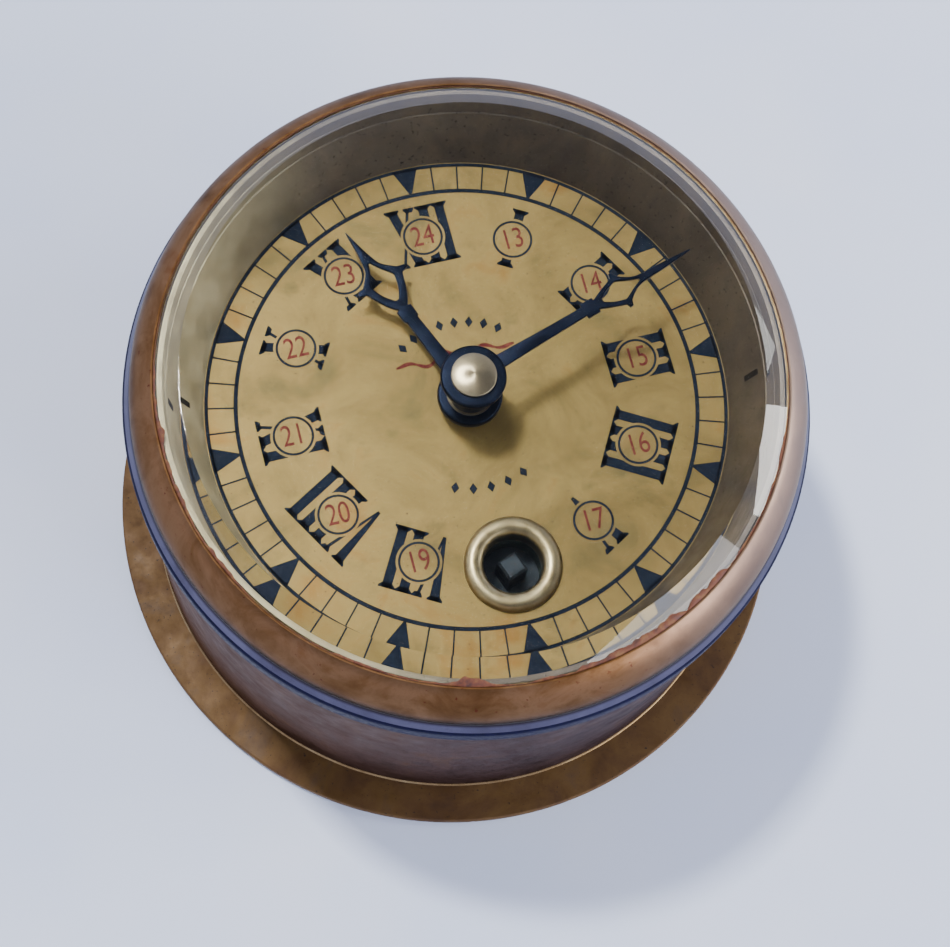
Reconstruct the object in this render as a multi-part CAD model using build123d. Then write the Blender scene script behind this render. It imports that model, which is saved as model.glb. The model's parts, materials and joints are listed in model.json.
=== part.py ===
from build123d import *
import math
import os

# Ship's deck clock in a round brass drum with an eight-day lever movement.
# Millimetres. The origin is the centre of the flange's back face, +Z runs out through the
# dial and the glass, +Y points to XII and +X to III.

# ---- driving dimensions: case ----
FLANGE_R = 50.7
FLANGE_BORE_R = 41.0
FLANGE_T = 1.5
DRUM_R = 45.1
DRUM_BORE_R = 43.1
DRUM_TOP_Z = 45.9
GROOVE_Z = 43.4
GROOVE_W = 0.3
COLLAR_R = 43.9
COLLAR_TOP_Z = 50.4
COVER_R = 40.7
COVER_T = 1.2
COVER_SCREW_R = 38.6
LUG_TOP_Z = 6.0

# ---- driving dimensions: bezel and glass ----
BEZEL_R = 46.1
BEZEL_SHOULDER_R = 44.95
BEZEL_BOTTOM_Z = 46.3
BEZEL_RIM_Z = 49.5
BEZEL_SHOULDER_Z = 51.2
BEAD_MIDDLE_R = 44.25
BEAD_MIDDLE_Z = 55.1
LIP_R = 41.4
LIP_Z = 57.95
GLASS_R = 41.75
GLASS_BORE_R = 41.85
GLASS_BOTTOM_Z = 57.35
GLASS_EDGE_T = 0.2
GLASS_TOP_Z = 59.7
BEVEL_R = 38.0
RETAINER_BORE_R = 40.9
RETAINER_T = 1.8

# ---- driving dimensions: dial and hands ----
DIAL_TOP_Z = 45.2
DIAL_T = 1.0
DIAL_R = 41.5
SEAT_BORE_R = 36.2
SEAT_T = 1.4
SURROUND_FOOT_R = 35.15
SURROUND_TOP_R = 39.9
SURROUND_TOP_Z = 56.8
SPANNER_AZIMUTHS = (-79.5, 100.5)
SPANNER_SLOT_Z = (49.4, 52.4)
EYELET_R = 6.5
EYELET_HOLE_R = 4.05
EYELET_H = 1.3
HOUR_HAND_L = 28.3
MINUTE_HAND_L = 34.8
HOUR_AZIMUTH = -22.0
MINUTE_AZIMUTH = 71.8
BOSS_R = 4.35

# ---- driving dimensions: movement ----
FRONT_PLATE_Z = 36.4
REAR_PLATE_Z = 16.8
PLATE_T = 2.0
PLATE_R = 41.0
REAR_PLATE_R = 40.0
PILLAR_CIRCLE_R = 36.5
PILLAR_ANGLES = (45, 135, 225, 315)
POST_CIRCLE_R = 38.6
POST_ANGLES = (90, 210, 330)
DIAL_FOOT_CIRCLE_R = 30.0
DIAL_FOOT_ANGLES = (100, 220, 340)
PIVOT_R = 0.5
RUNNING_GAP = 0.05

# Going train: module, then wheel and pinion leaves of each mesh.
BARREL_MODULE = 0.45
BARREL_TEETH = 72
INTERMEDIATE_LEAVES = 10
INTERMEDIATE_MODULE = 0.35
INTERMEDIATE_TEETH = 60
CENTRE_LEAVES = 10
CENTRE_MODULE = 0.35
CENTRE_TEETH = 64
THIRD_LEAVES = 8
THIRD_MODULE = 0.35
THIRD_TEETH = 60
FOURTH_LEAVES = 8
FOURTH_MODULE = 0.25
FOURTH_TEETH = 80
ESCAPE_LEAVES = 8
ESCAPE_TEETH = 15
ESCAPE_R = 4.5

# Motion work under the dial.
MOTION_DISTANCE = 9.0
CANNON_LEAVES = 12
MINUTE_WHEEL_TEETH = 36
MINUTE_LEAVES = 10
HOUR_WHEEL_TEETH = 40

RATCHET_TEETH = 24
RATCHET_R = 6.5
SQUARE_W = 2.9
SQUARE_TOP_Z = 44.9


def pitch_r(teeth, module):
    return teeth * module / 2


def polar(centre, radius, angle):
    """The point at a radius and an angle in degrees, anticlockwise from +X, about a centre."""
    turn = math.radians(angle)
    return (centre[0] + radius * math.cos(turn), centre[1] + radius * math.sin(turn))


def bearing(start, end):
    return math.degrees(math.atan2(end[1] - start[1], end[0] - start[0]))


# ---- arbor centres, worked out from the meshes ----
CENTRE = (0.0, 0.0)
BARREL = (0.0, -23.0)
BARREL_MESH = pitch_r(BARREL_TEETH + INTERMEDIATE_LEAVES, BARREL_MODULE)
CENTRE_MESH = pitch_r(INTERMEDIATE_TEETH + CENTRE_LEAVES, INTERMEDIATE_MODULE)
# The intermediate arbor stands at both mesh distances, left of the line from barrel to centre.
ARBOR_Y = (BARREL_MESH**2 - CENTRE_MESH**2 - BARREL[1] ** 2) / (-2 * BARREL[1])
INTERMEDIATE = (-math.sqrt(CENTRE_MESH**2 - ARBOR_Y**2), ARBOR_Y)
THIRD = polar(CENTRE, pitch_r(CENTRE_TEETH + THIRD_LEAVES, CENTRE_MODULE), 60)
FOURTH = polar(THIRD, pitch_r(THIRD_TEETH + FOURTH_LEAVES, THIRD_MODULE), 165)
ESCAPE = polar(FOURTH, pitch_r(FOURTH_TEETH + ESCAPE_LEAVES, FOURTH_MODULE), 200)
LEVER_ANGLE = 215
PALLET_DISTANCE = 6.2
PALLET = polar(ESCAPE, PALLET_DISTANCE, LEVER_ANGLE)
BALANCE_DISTANCE = 8.5
BALANCE = polar(PALLET, BALANCE_DISTANCE, LEVER_ANGLE)
MINUTE_POST = (MOTION_DISTANCE, 0.0)

# ---- layers between the plates, each from its lowest to its highest Z ----
FRONT_PLATE_TOP_Z = FRONT_PLATE_Z + PLATE_T
REAR_PLATE_TOP_Z = REAR_PLATE_Z + PLATE_T
INTERMEDIATE_LAYER = (19.4, 20.4)
BARREL_LAYER = (33.0, 34.4)
BARREL_BOTTOM_Z = 21.2
CENTRE_LAYER = (35.0, 35.9)
THIRD_LAYER = (29.0, 30.0)
FOURTH_LAYER = (24.0, 24.8)
ESCAPE_LAYER = (15.4, 16.0)
PALLET_LAYER = (15.2, 16.1)
ESCAPE_COCK_LAYER = (13.5, 14.5)
BALANCE_LAYER = (11.4, 12.6)
HAIRSPRING_LAYER = (10.0, 10.6)
BALANCE_COCK_LAYER = (7.6, 9.2)
REGULATOR_LAYER = (6.8, 7.5)
CANNON_LAYER = (39.3, 41.0)
MINUTE_WHEEL_LAYER = (39.7, 40.4)
HOUR_WHEEL_LAYER = (41.2, 42.0)
RATCHET_LAYER = (38.7, 39.7)
HOUR_HAND_LAYER = (48.4, 48.9)
HOUR_BOSS_LAYER = (47.6, 49.0)
MINUTE_HAND_LAYER = (55.1, 55.6)
MINUTE_BOSS_LAYER = (54.9, 55.8)


# ---- plain shapes ----
def disc(radius, low, high, centre=CENTRE):
    return Pos(centre[0], centre[1], (low + high) / 2) * Cylinder(radius, high - low)


def ring(radius, bore, low, high, centre=CENTRE):
    return disc(radius, low, high, centre) - disc(bore, low - 1, high + 1, centre)


def block(width, depth, low, high, centre=CENTRE, angle=0):
    body = Box(width, depth, high - low)
    return Pos(centre[0], centre[1], (low + high) / 2) * Rot(0, 0, angle) * body


def plate(points, low, high):
    """A flat piece with the closed outline of the points."""
    outline = Polyline(*points, close=True)
    return Pos(0, 0, low) * extrude(make_face(outline), high - low, dir=(0, 0, 1))


def turned(points):
    """A piece turned about the Z axis from a closed outline of (radius, height) points."""
    outline = Polyline(*[(radius, 0, height) for radius, height in points], close=True)
    return revolve(make_face(outline), Axis.Z)


def bar(start, end, width, low, high):
    """A flat bar with round ends from one point to another."""
    length = math.dist(start, end)
    middle = ((start[0] + end[0]) / 2, (start[1] + end[1]) / 2)
    straight = block(length, width, low, high, middle, bearing(start, end))
    return straight + disc(width / 2, low, high, start) + disc(width / 2, low, high, end)


def on_circle(radius, angles):
    return [polar(CENTRE, radius, angle) for angle in angles]


# ---- toothed wheels ----
PRESSURE_ANGLE = math.radians(20)
TOOTH_SHARE = 0.42
ADDENDUM = 0.75
DEDENDUM = 1.15


def involute(angle):
    return math.tan(angle) - angle


def tooth_half_angle(radius, teeth, module):
    """Half of a tooth's angle at a radius, from the involute with its backlash."""
    pitch = pitch_r(teeth, module)
    base = pitch * math.cos(PRESSURE_ANGLE)
    at = math.acos(min(1.0, base / radius))
    half_at_pitch = TOOTH_SHARE * math.pi / teeth
    return half_at_pitch + involute(PRESSURE_ANGLE) - involute(at)


def toothed_disc(teeth, module, layer, centre, tooth_angle):
    """A wheel with one tooth on the line at tooth_angle."""
    pitch = pitch_r(teeth, module)
    radii = [pitch - DEDENDUM * module, pitch - 0.3 * module, pitch, pitch + ADDENDUM * module]
    outline = []
    for index in range(teeth):
        middle = tooth_angle + index * 360 / teeth
        halves = [math.degrees(tooth_half_angle(r, teeth, module)) for r in radii]
        outline += [polar(centre, r, middle - half) for r, half in zip(radii, halves)]
        rising = list(zip(radii, halves))
        outline += [polar(centre, r, middle + half) for r, half in reversed(rising)]
    return plate(outline, *layer)


def spoked_wheel(teeth, module, layer, centre, tooth_angle, hub_r, spokes=4):
    """A crossed-out wheel: toothed rim, spokes and hub."""
    wheel = toothed_disc(teeth, module, layer, centre, tooth_angle)
    rim_r = pitch_r(teeth, module) - 3.4 * module
    window = ring(rim_r, hub_r + 0.8, layer[0] - 1, layer[1] + 1, centre)
    for index in range(spokes):
        angle = index * 360 / spokes + tooth_angle
        spoke_middle = polar(centre, rim_r / 2, angle)
        window -= block(rim_r, 0.9, layer[0] - 1, layer[1] + 1, spoke_middle, angle)
    return wheel - window


def pinion(leaves, module, layer, centre, towards):
    """A pinion with a gap on the line to its wheel's centre."""
    gap_angle = bearing(centre, towards)
    return toothed_disc(leaves, module, layer, centre, gap_angle + 180 / leaves)


def arbor(centre, radius, low, high, pivot_low, pivot_high):
    """A steel arbor between its shoulders, with a pivot at each end."""
    body = disc(radius, low, high, centre)
    return body + disc(PIVOT_R, pivot_low, pivot_high, centre)


# ---- case ----
def case_body():
    drum = ring(DRUM_R, DRUM_BORE_R, FLANGE_T, DRUM_TOP_Z)
    groove = ring(DRUM_R + 1, DRUM_R - GROOVE_W, GROOVE_Z, GROOVE_Z + GROOVE_W)
    collar = ring(COLLAR_R, DRUM_BORE_R, DRUM_TOP_Z - 0.2, COLLAR_TOP_Z)
    return drum - groove + collar


def mounting_flange():
    flange = ring(FLANGE_R, FLANGE_BORE_R, 0, FLANGE_T)
    rim = flange.edges().filter_by(GeomType.CIRCLE).filter_by(
        lambda edge: edge.radius > FLANGE_R - 0.1
    )
    return fillet(rim, 0.4)


COVER_SCREW_ANGLES = (30, 150, 270)
COVER_SCREW_SHANK_R = 1.0
COVER_SCREW_HEAD_R = 1.9


def case_lugs():
    """Three lugs inside the foot of the drum, which the back cover's screws go into."""
    lugs = []
    for angle in COVER_SCREW_ANGLES:
        middle = polar(CENTRE, COVER_SCREW_R + 1.3, angle)
        lug = block(6.0, 4.4, FLANGE_T, LUG_TOP_Z, middle, angle)
        lugs.append(lug - disc(COVER_SCREW_SHANK_R, 0, LUG_TOP_Z + 1, polar(CENTRE, COVER_SCREW_R, angle)))
    return Compound(lugs)


def back_cover():
    """The round cover in the flange's opening, with a raised rib and screw holes."""
    cover = disc(COVER_R, FLANGE_T - COVER_T, FLANGE_T)
    cover += ring(30.0, 28.0, FLANGE_T - 0.2, FLANGE_T + 0.8)
    for hole in on_circle(COVER_SCREW_R, COVER_SCREW_ANGLES):
        cover -= disc(COVER_SCREW_SHANK_R + 0.1, -1, FLANGE_T + 1, hole)
        cover -= disc(COVER_SCREW_HEAD_R + 0.1, -1, FLANGE_T - COVER_T + 0.6, hole)
    return cover


def slotted_screw(centre, head_r, shank_r, head_low, head_high, shank_end, slot_up):
    """A cheese-head screw: its slot is on the face away from the shank."""
    screw = disc(head_r, head_low, head_high, centre)
    screw += disc(shank_r, min(head_low, shank_end), max(head_high, shank_end), centre)
    slot_z = head_high if slot_up else head_low
    slot_depth = 0.35 * (head_high - head_low)
    return screw - block(3 * head_r, 0.3 * head_r, slot_z - slot_depth, slot_z + slot_depth, centre, 25)


def back_cover_screws():
    low = FLANGE_T - COVER_T
    screws = [
        slotted_screw(at, COVER_SCREW_HEAD_R, COVER_SCREW_SHANK_R, low, low + 0.6, LUG_TOP_Z - 0.5, False)
        for at in on_circle(COVER_SCREW_R, COVER_SCREW_ANGLES)
    ]
    return Compound(screws)


# ---- bezel and glass ----
def bezel():
    """The screw-on bezel: a round bead over a straight skirt, with the glass's seat."""
    bead = ThreePointArc(
        (LIP_R + 0.35, 0, LIP_Z + 0.1),
        (BEAD_MIDDLE_R, 0, BEAD_MIDDLE_Z),
        (BEZEL_SHOULDER_R, 0, BEZEL_SHOULDER_Z),
    )
    inside = Polyline(
        (BEZEL_SHOULDER_R, 0, BEZEL_SHOULDER_Z),
        (BEZEL_R, 0, BEZEL_RIM_Z),
        (BEZEL_R, 0, BEZEL_BOTTOM_Z),
        (COLLAR_R + 0.1, 0, BEZEL_BOTTOM_Z),
        (COLLAR_R + 0.1, 0, COLLAR_TOP_Z + 0.4),
        (GLASS_BORE_R, 0, COLLAR_TOP_Z + 0.4),
        (GLASS_BORE_R, 0, GLASS_BOTTOM_Z + GLASS_EDGE_T + 0.05),
        (LIP_R, 0, LIP_Z - 0.05),
        (LIP_R, 0, LIP_Z + 0.1),
        (LIP_R + 0.35, 0, LIP_Z + 0.1),
    )
    return revolve(make_face([bead, inside]), Axis.Z)


def glass():
    """Thick flat glass with a wide bevel."""
    return turned([
        (0, GLASS_BOTTOM_Z),
        (GLASS_R, GLASS_BOTTOM_Z),
        (GLASS_R, GLASS_BOTTOM_Z + GLASS_EDGE_T),
        (BEVEL_R, GLASS_TOP_Z),
        (0, GLASS_TOP_Z),
    ])


def glass_retaining_ring():
    """The narrow ring under the glass's edge."""
    low = GLASS_BOTTOM_Z - RETAINER_T
    return ring(GLASS_BORE_R - 0.05, RETAINER_BORE_R, low, GLASS_BOTTOM_Z)


def glass_cement():
    """The bead of cement between the bezel's lip and the bevel."""
    slope = (GLASS_TOP_Z - GLASS_BOTTOM_Z - GLASS_EDGE_T) / (GLASS_R - BEVEL_R)
    inner_r = LIP_R - 0.55
    bevel_z = GLASS_BOTTOM_Z + GLASS_EDGE_T + slope * (GLASS_R - inner_r)
    outer_z = GLASS_BOTTOM_Z + GLASS_EDGE_T + slope * (GLASS_R - LIP_R + 0.02)
    return turned([
        (LIP_R - 0.02, outer_z + 0.02),
        (LIP_R - 0.02, LIP_Z + 0.12),
        (inner_r, bevel_z + 0.02),
    ])


# ---- dial ----
def dial_plate():
    dial = disc(DIAL_R, DIAL_TOP_Z - DIAL_T, DIAL_TOP_Z)
    dial -= disc(3.1, DIAL_TOP_Z - 5, DIAL_TOP_Z + 1)
    return dial - disc(EYELET_HOLE_R + 0.55, DIAL_TOP_Z - 5, DIAL_TOP_Z + 1, BARREL)


def dial_seat_ring():
    top = DIAL_TOP_Z - DIAL_T
    seat = ring(DRUM_BORE_R - 0.05, SEAT_BORE_R, top - SEAT_T, top)
    for at in on_circle(POST_CIRCLE_R, POST_ANGLES):
        seat -= disc(1.0, top - SEAT_T - 1, top + 1, at)
    return seat


def dial_surround():
    """The sloped wall between the dial and the glass, with a spanner slot at each side."""
    foot_top = DIAL_TOP_Z + 1.0
    outer_r = SURROUND_TOP_R + 0.8
    body = turned([
        (SURROUND_FOOT_R, DIAL_TOP_Z),
        (DRUM_BORE_R - 0.1, DIAL_TOP_Z),
        (DRUM_BORE_R - 0.1, foot_top),
        (SURROUND_FOOT_R + 1.6, foot_top),
        (outer_r, SURROUND_TOP_Z - 2.8),
        (outer_r, SURROUND_TOP_Z),
        (SURROUND_TOP_R, SURROUND_TOP_Z),
    ])
    for azimuth in SPANNER_AZIMUTHS:
        slot_middle = polar(CENTRE, SURROUND_TOP_R - 1, 90 - azimuth)
        body -= block(6.0, 0.8, *SPANNER_SLOT_Z, slot_middle, 90 - azimuth)
    return body


def dial_feet():
    feet = []
    for at in on_circle(DIAL_FOOT_CIRCLE_R, DIAL_FOOT_ANGLES):
        foot = disc(1.5, FRONT_PLATE_TOP_Z, DIAL_TOP_Z - DIAL_T, at)
        foot += disc(0.9, FRONT_PLATE_Z - 1.8, FRONT_PLATE_TOP_Z + 0.5, at)
        pin_hole = Rot(0, 90, 0) * Cylinder(0.3, 4)
        feet.append(foot - Pos(at[0], at[1], FRONT_PLATE_Z - 0.8) * pin_hole)
    return Compound(feet)


def dial_foot_pins():
    pins = []
    for at in on_circle(DIAL_FOOT_CIRCLE_R, DIAL_FOOT_ANGLES):
        pin = Cone(0.3, 0.24, 6)
        pins.append(Pos(at[0], at[1], FRONT_PLATE_Z - 0.8) * Rot(0, 90, 0) * pin)
    return Compound(pins)


def winding_eyelet():
    """The round grommet in the dial over the winding square."""
    middle_r = (EYELET_R + EYELET_HOLE_R) / 2
    top = ThreePointArc(
        (EYELET_R, 0, DIAL_TOP_Z),
        (middle_r, 0, DIAL_TOP_Z + EYELET_H),
        (EYELET_HOLE_R, 0, DIAL_TOP_Z - 0.1),
    )
    sleeve = Polyline(
        (EYELET_HOLE_R, 0, DIAL_TOP_Z - 0.1),
        (EYELET_HOLE_R, 0, DIAL_TOP_Z - DIAL_T - 0.9),
        (EYELET_HOLE_R + 0.5, 0, DIAL_TOP_Z - DIAL_T - 0.9),
        (EYELET_HOLE_R + 0.5, 0, DIAL_TOP_Z),
        (EYELET_R, 0, DIAL_TOP_Z),
    )
    return Pos(*BARREL, 0) * revolve(make_face([top, sleeve]), Axis.Z)


# ---- hands ----
def hand_outline(length, azimuth):
    """A tapered stem with a collar, opening into a spired head of two curved arms."""
    sweep = 90 - azimuth
    head = 0.36 * length
    neck = length - head
    side = 0.135 * length

    def at(along, across):
        return polar(polar(CENTRE, along, sweep), across, sweep + 90)

    def flank(sign):
        return [
            at(BOSS_R - 0.6, sign * 1.25),
            at(neck - 2.0, sign * 0.62),
            at(neck - 1.7, sign * 1.0),
            at(neck - 0.4, sign * 1.0),
            at(neck, sign * 0.7),
            at(neck + 0.10 * head, sign * 0.42 * side),
            at(neck + 0.26 * head, sign * 0.80 * side),
            at(neck + 0.30 * head, sign * (side + 0.55)),
            at(neck + 0.38 * head, sign * 0.82 * side),
            at(neck + 0.60 * head, sign * 0.36 * side),
            at(neck + 0.80 * head, sign * 0.16 * side),
        ]

    def opening(sign):
        return [
            at(neck + 0.17 * head, sign * 0.26 * side),
            at(neck + 0.30 * head, sign * 0.62 * side),
            at(neck + 0.38 * head, sign * 0.50 * side),
            at(neck + 0.54 * head, sign * 0.14 * side),
        ]

    outer = flank(1) + [at(length, 0)] + list(reversed(flank(-1)))
    inner = [at(neck + 0.10 * head, 0)] + opening(1) + [at(neck + 0.66 * head, 0)]
    inner += list(reversed(opening(-1)))
    return outer, inner


def hand(length, azimuth, layer, boss_layer, bore_r):
    outer, inner = hand_outline(length, azimuth)
    blade = plate(outer, *layer) - plate(inner, layer[0] - 1, layer[1] + 1)
    return blade + disc(BOSS_R, *boss_layer) - disc(bore_r, boss_layer[0] - 9, boss_layer[1] + 1)


CANNON_R = 1.6
HOUR_PIPE_R = 2.5
CENTRE_ARBOR_R = 1.0
NUT_R = 3.0
NUT_APEX_Z = 57.05


def hour_hand():
    return hand(HOUR_HAND_L, HOUR_AZIMUTH, HOUR_HAND_LAYER, HOUR_BOSS_LAYER, HOUR_PIPE_R)


def minute_hand():
    boss = hand(MINUTE_HAND_L, MINUTE_AZIMUTH, MINUTE_HAND_LAYER, MINUTE_BOSS_LAYER, CANNON_R)
    return boss + ring(2.95, CANNON_R, 49.5, MINUTE_BOSS_LAYER[0] + 0.1)


def hand_nut():
    """A low turned cone that threads onto the centre arbor."""
    low = MINUTE_BOSS_LAYER[1]
    nut = turned([(0, low), (NUT_R, low), (NUT_R, low + 0.55), (0, NUT_APEX_Z)])
    return nut - disc(CENTRE_ARBOR_R, low - 1, low + 0.5)


def cannon_pinion():
    leaves = pinion(CANNON_LEAVES, 2 * MOTION_DISTANCE / 48, CANNON_LAYER, CENTRE, MINUTE_POST)
    leaves += disc(CANNON_R, CANNON_LAYER[0] - 0.5, MINUTE_BOSS_LAYER[1])
    return leaves - disc(CENTRE_ARBOR_R, 30, 60)


def hour_wheel():
    module = 2 * MOTION_DISTANCE / 50
    layer = HOUR_WHEEL_LAYER
    wheel = spoked_wheel(HOUR_WHEEL_TEETH, module, layer, CENTRE, 0, HOUR_PIPE_R + 0.6, 4)
    wheel += disc(HOUR_PIPE_R, layer[0], HOUR_BOSS_LAYER[1])
    return wheel - disc(CANNON_R + RUNNING_GAP, 30, 60)


def hour_collar():
    """The bright brass ring over the hour hand's boss that holds it on its pipe."""
    return ring(3.15, CANNON_R + 0.2, HOUR_BOSS_LAYER[1], HOUR_BOSS_LAYER[1] + 0.25)


def minute_wheel():
    angle = bearing(MINUTE_POST, CENTRE)
    wheel_module = 2 * MOTION_DISTANCE / 48
    pinion_module = 2 * MOTION_DISTANCE / 50
    leaves_layer = (MINUTE_WHEEL_LAYER[0], HOUR_WHEEL_LAYER[1] + 0.4)
    wheel = spoked_wheel(MINUTE_WHEEL_TEETH, wheel_module, MINUTE_WHEEL_LAYER, MINUTE_POST, angle, 1.9, 4)
    wheel += pinion(MINUTE_LEAVES, pinion_module, leaves_layer, MINUTE_POST, CENTRE)
    return wheel - disc(0.7 + RUNNING_GAP, 30, 60, MINUTE_POST)


def minute_wheel_post():
    post = disc(0.7, FRONT_PLATE_TOP_Z, HOUR_WHEEL_LAYER[1] + 0.8, MINUTE_POST)
    return post + disc(1.6, FRONT_PLATE_TOP_Z, MINUTE_WHEEL_LAYER[0] - 0.2, MINUTE_POST)


# ---- plates and what holds them ----
def front_plate():
    body = disc(PLATE_R, FRONT_PLATE_Z, FRONT_PLATE_TOP_Z)
    low, high = FRONT_PLATE_Z - 1, FRONT_PLATE_TOP_Z + 1
    body -= disc(CENTRE_ARBOR_R + RUNNING_GAP, low, high)
    body -= disc(1.6 + RUNNING_GAP, low, high, BARREL)
    for at in (INTERMEDIATE, THIRD, FOURTH, ESCAPE):
        body -= disc(PIVOT_R + RUNNING_GAP, low, high, at)
    for at in on_circle(DIAL_FOOT_CIRCLE_R, DIAL_FOOT_ANGLES):
        body -= disc(0.95, low, high, at)
    for at in on_circle(POST_CIRCLE_R, POST_ANGLES) + on_circle(PILLAR_CIRCLE_R, PILLAR_ANGLES):
        body -= disc(1.0, low, high, at)
    return body


def rear_plate():
    body = disc(REAR_PLATE_R, REAR_PLATE_Z, REAR_PLATE_TOP_Z)
    low, high = REAR_PLATE_Z - 1, REAR_PLATE_TOP_Z + 1
    body -= disc(1.1 + RUNNING_GAP, low, high, BARREL)
    for at in (CENTRE, INTERMEDIATE, THIRD, FOURTH, BALANCE, PALLET):
        body -= disc(PIVOT_R + RUNNING_GAP, low, high, at)
    body -= disc(1.2, low, high, ESCAPE)
    for at in on_circle(PILLAR_CIRCLE_R, PILLAR_ANGLES) + [ESCAPE_COCK_FOOT, BALANCE_COCK_FOOT]:
        body -= disc(0.8, low, high, at)
    return body


def plate_pillars():
    pillars = []
    for at in on_circle(PILLAR_CIRCLE_R, PILLAR_ANGLES):
        pillar = disc(2.4, REAR_PLATE_TOP_Z, FRONT_PLATE_Z, at)
        pillar -= ring(4, 1.9, REAR_PLATE_TOP_Z + 2, FRONT_PLATE_Z - 2, at)
        pillar -= disc(0.8, REAR_PLATE_TOP_Z - 1, REAR_PLATE_TOP_Z + 5, at)
        pillars.append(pillar - disc(1.0, FRONT_PLATE_Z - 5, FRONT_PLATE_Z + 1, at))
    return Compound(pillars)


def plate_screws():
    """The screws that hold the plates to the pillars, and the front plate to its posts."""
    screws = []
    for at in on_circle(PILLAR_CIRCLE_R, PILLAR_ANGLES):
        top = FRONT_PLATE_TOP_Z
        screws.append(slotted_screw(at, 1.9, 1.0, top, top + 1.0, FRONT_PLATE_Z - 4, True))
        low = REAR_PLATE_Z
        screws.append(slotted_screw(at, 1.7, 0.8, low - 1.0, low, REAR_PLATE_TOP_Z + 4, False))
    for at in on_circle(POST_CIRCLE_R, POST_ANGLES):
        low, shank_end = FRONT_PLATE_Z - 1.0, FRONT_PLATE_TOP_Z + 2.8
        screws.append(slotted_screw(at, 2.0, 1.0, low, low + 1.0, shank_end, False))
    return Compound(screws)


def movement_posts():
    """Threaded posts that hang the movement from the dial's seat ring."""
    top = DIAL_TOP_Z - DIAL_T - SEAT_T
    posts = []
    for at in on_circle(POST_CIRCLE_R, POST_ANGLES):
        post = disc(1.9, FRONT_PLATE_TOP_Z, top, at)
        post += disc(1.0, top - 0.1, DIAL_TOP_Z - DIAL_T - 0.1, at)
        posts.append(post - disc(1.0, FRONT_PLATE_TOP_Z - 1, FRONT_PLATE_TOP_Z + 3, at))
    return Compound(posts)


# ---- barrel and winding work ----
BARREL_DRUM_R = 14.8
BARREL_CAVITY_R = 14.0
BARREL_HUB_R = 3.0


def spring_barrel():
    high = BARREL_LAYER[1]
    angle = bearing(BARREL, INTERMEDIATE)
    body = toothed_disc(BARREL_TEETH, BARREL_MODULE, BARREL_LAYER, BARREL, angle)
    body += disc(BARREL_DRUM_R, BARREL_BOTTOM_Z, BARREL_LAYER[0] + 0.5, BARREL)
    body -= disc(BARREL_CAVITY_R, BARREL_BOTTOM_Z - 1, BARREL_LAYER[0] - 0.4, BARREL)
    return body - disc(1.6 + RUNNING_GAP, 10, high + 5, BARREL)


def barrel_cover():
    low = BARREL_BOTTOM_Z + 0.1
    return ring(BARREL_CAVITY_R - 0.02, 1.6 + RUNNING_GAP, low, low + 0.9, BARREL)


def spiral_strip(centre, inner_r, outer_r, turns, thickness, layer, start):
    """A flat spiral spring of even pitch."""
    steps = int(turns * 20)
    side_in, side_out = [], []
    for step in range(steps + 1):
        share = step / steps
        radius = inner_r + (outer_r - inner_r) * share
        angle = start + 360 * turns * share
        side_in.append(polar(centre, radius - thickness / 2, angle))
        side_out.append(polar(centre, radius + thickness / 2, angle))
    return plate(side_out + list(reversed(side_in)), *layer)


def mainspring():
    layer = (BARREL_BOTTOM_Z + 1.4, BARREL_LAYER[0] - 0.8)
    return spiral_strip(BARREL, BARREL_HUB_R + 0.5, BARREL_CAVITY_R - 0.6, 9, 0.45, layer, 0)


def barrel_arbor():
    body = disc(1.6, REAR_PLATE_TOP_Z + 0.1, FRONT_PLATE_TOP_Z + 0.1, BARREL)
    body += disc(1.1, REAR_PLATE_Z - 0.3, REAR_PLATE_TOP_Z + 1, BARREL)
    body += disc(BARREL_HUB_R, BARREL_BOTTOM_Z + 1.4, BARREL_LAYER[0] - 0.8, BARREL)
    square = block(SQUARE_W, SQUARE_W, FRONT_PLATE_TOP_Z, SQUARE_TOP_Z, BARREL, 20)
    top = square.faces().sort_by(Axis.Z)[-1]
    return body + chamfer(top.edges(), 0.3)


def ratchet_wheel():
    """A saw-toothed wheel on the winding square, with one gap in line with the click."""
    outline = []
    pitch = 360 / RATCHET_TEETH
    for index in range(RATCHET_TEETH):
        start = CLICK_TIP_ANGLE + (index - 0.5) * pitch
        outline.append(polar(BARREL, RATCHET_R, start))
        outline.append(polar(BARREL, RATCHET_R - 1.0, start + 0.25 * pitch))
        outline.append(polar(BARREL, RATCHET_R - 1.0, start + 0.55 * pitch))
    body = plate(outline, *RATCHET_LAYER)
    return body - block(SQUARE_W, SQUARE_W, 30, 50, BARREL, 20)


CLICK_TIP_ANGLE = 55
CLICK_PIVOT = polar(BARREL, 9.4, 20)
CLICK_SCREW_R = 0.8


def click():
    """The pawl, with its nose held just clear of the ratchet's teeth."""
    nose = polar(BARREL, RATCHET_R + 0.25, CLICK_TIP_ANGLE)
    angle = bearing(CLICK_PIVOT, nose)
    reach = math.dist(CLICK_PIVOT, nose)
    arm = [
        polar(CLICK_PIVOT, 1.3, angle + 90),
        polar(CLICK_PIVOT, 1.3, angle - 90),
        polar(polar(CLICK_PIVOT, reach - 1.2, angle), 0.9, angle - 90),
        polar(polar(CLICK_PIVOT, reach, angle), 0.35, angle - 90),
        nose,
        polar(polar(CLICK_PIVOT, reach - 1.0, angle), 0.25, angle + 90),
    ]
    body = plate(arm, *RATCHET_LAYER) + disc(1.3, *RATCHET_LAYER, CLICK_PIVOT)
    return body - disc(CLICK_SCREW_R + RUNNING_GAP, 30, 50, CLICK_PIVOT)


def click_screw():
    top = RATCHET_LAYER[1]
    return slotted_screw(CLICK_PIVOT, 1.5, CLICK_SCREW_R, top + 0.1, top + 0.9, FRONT_PLATE_TOP_Z, True)


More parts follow.
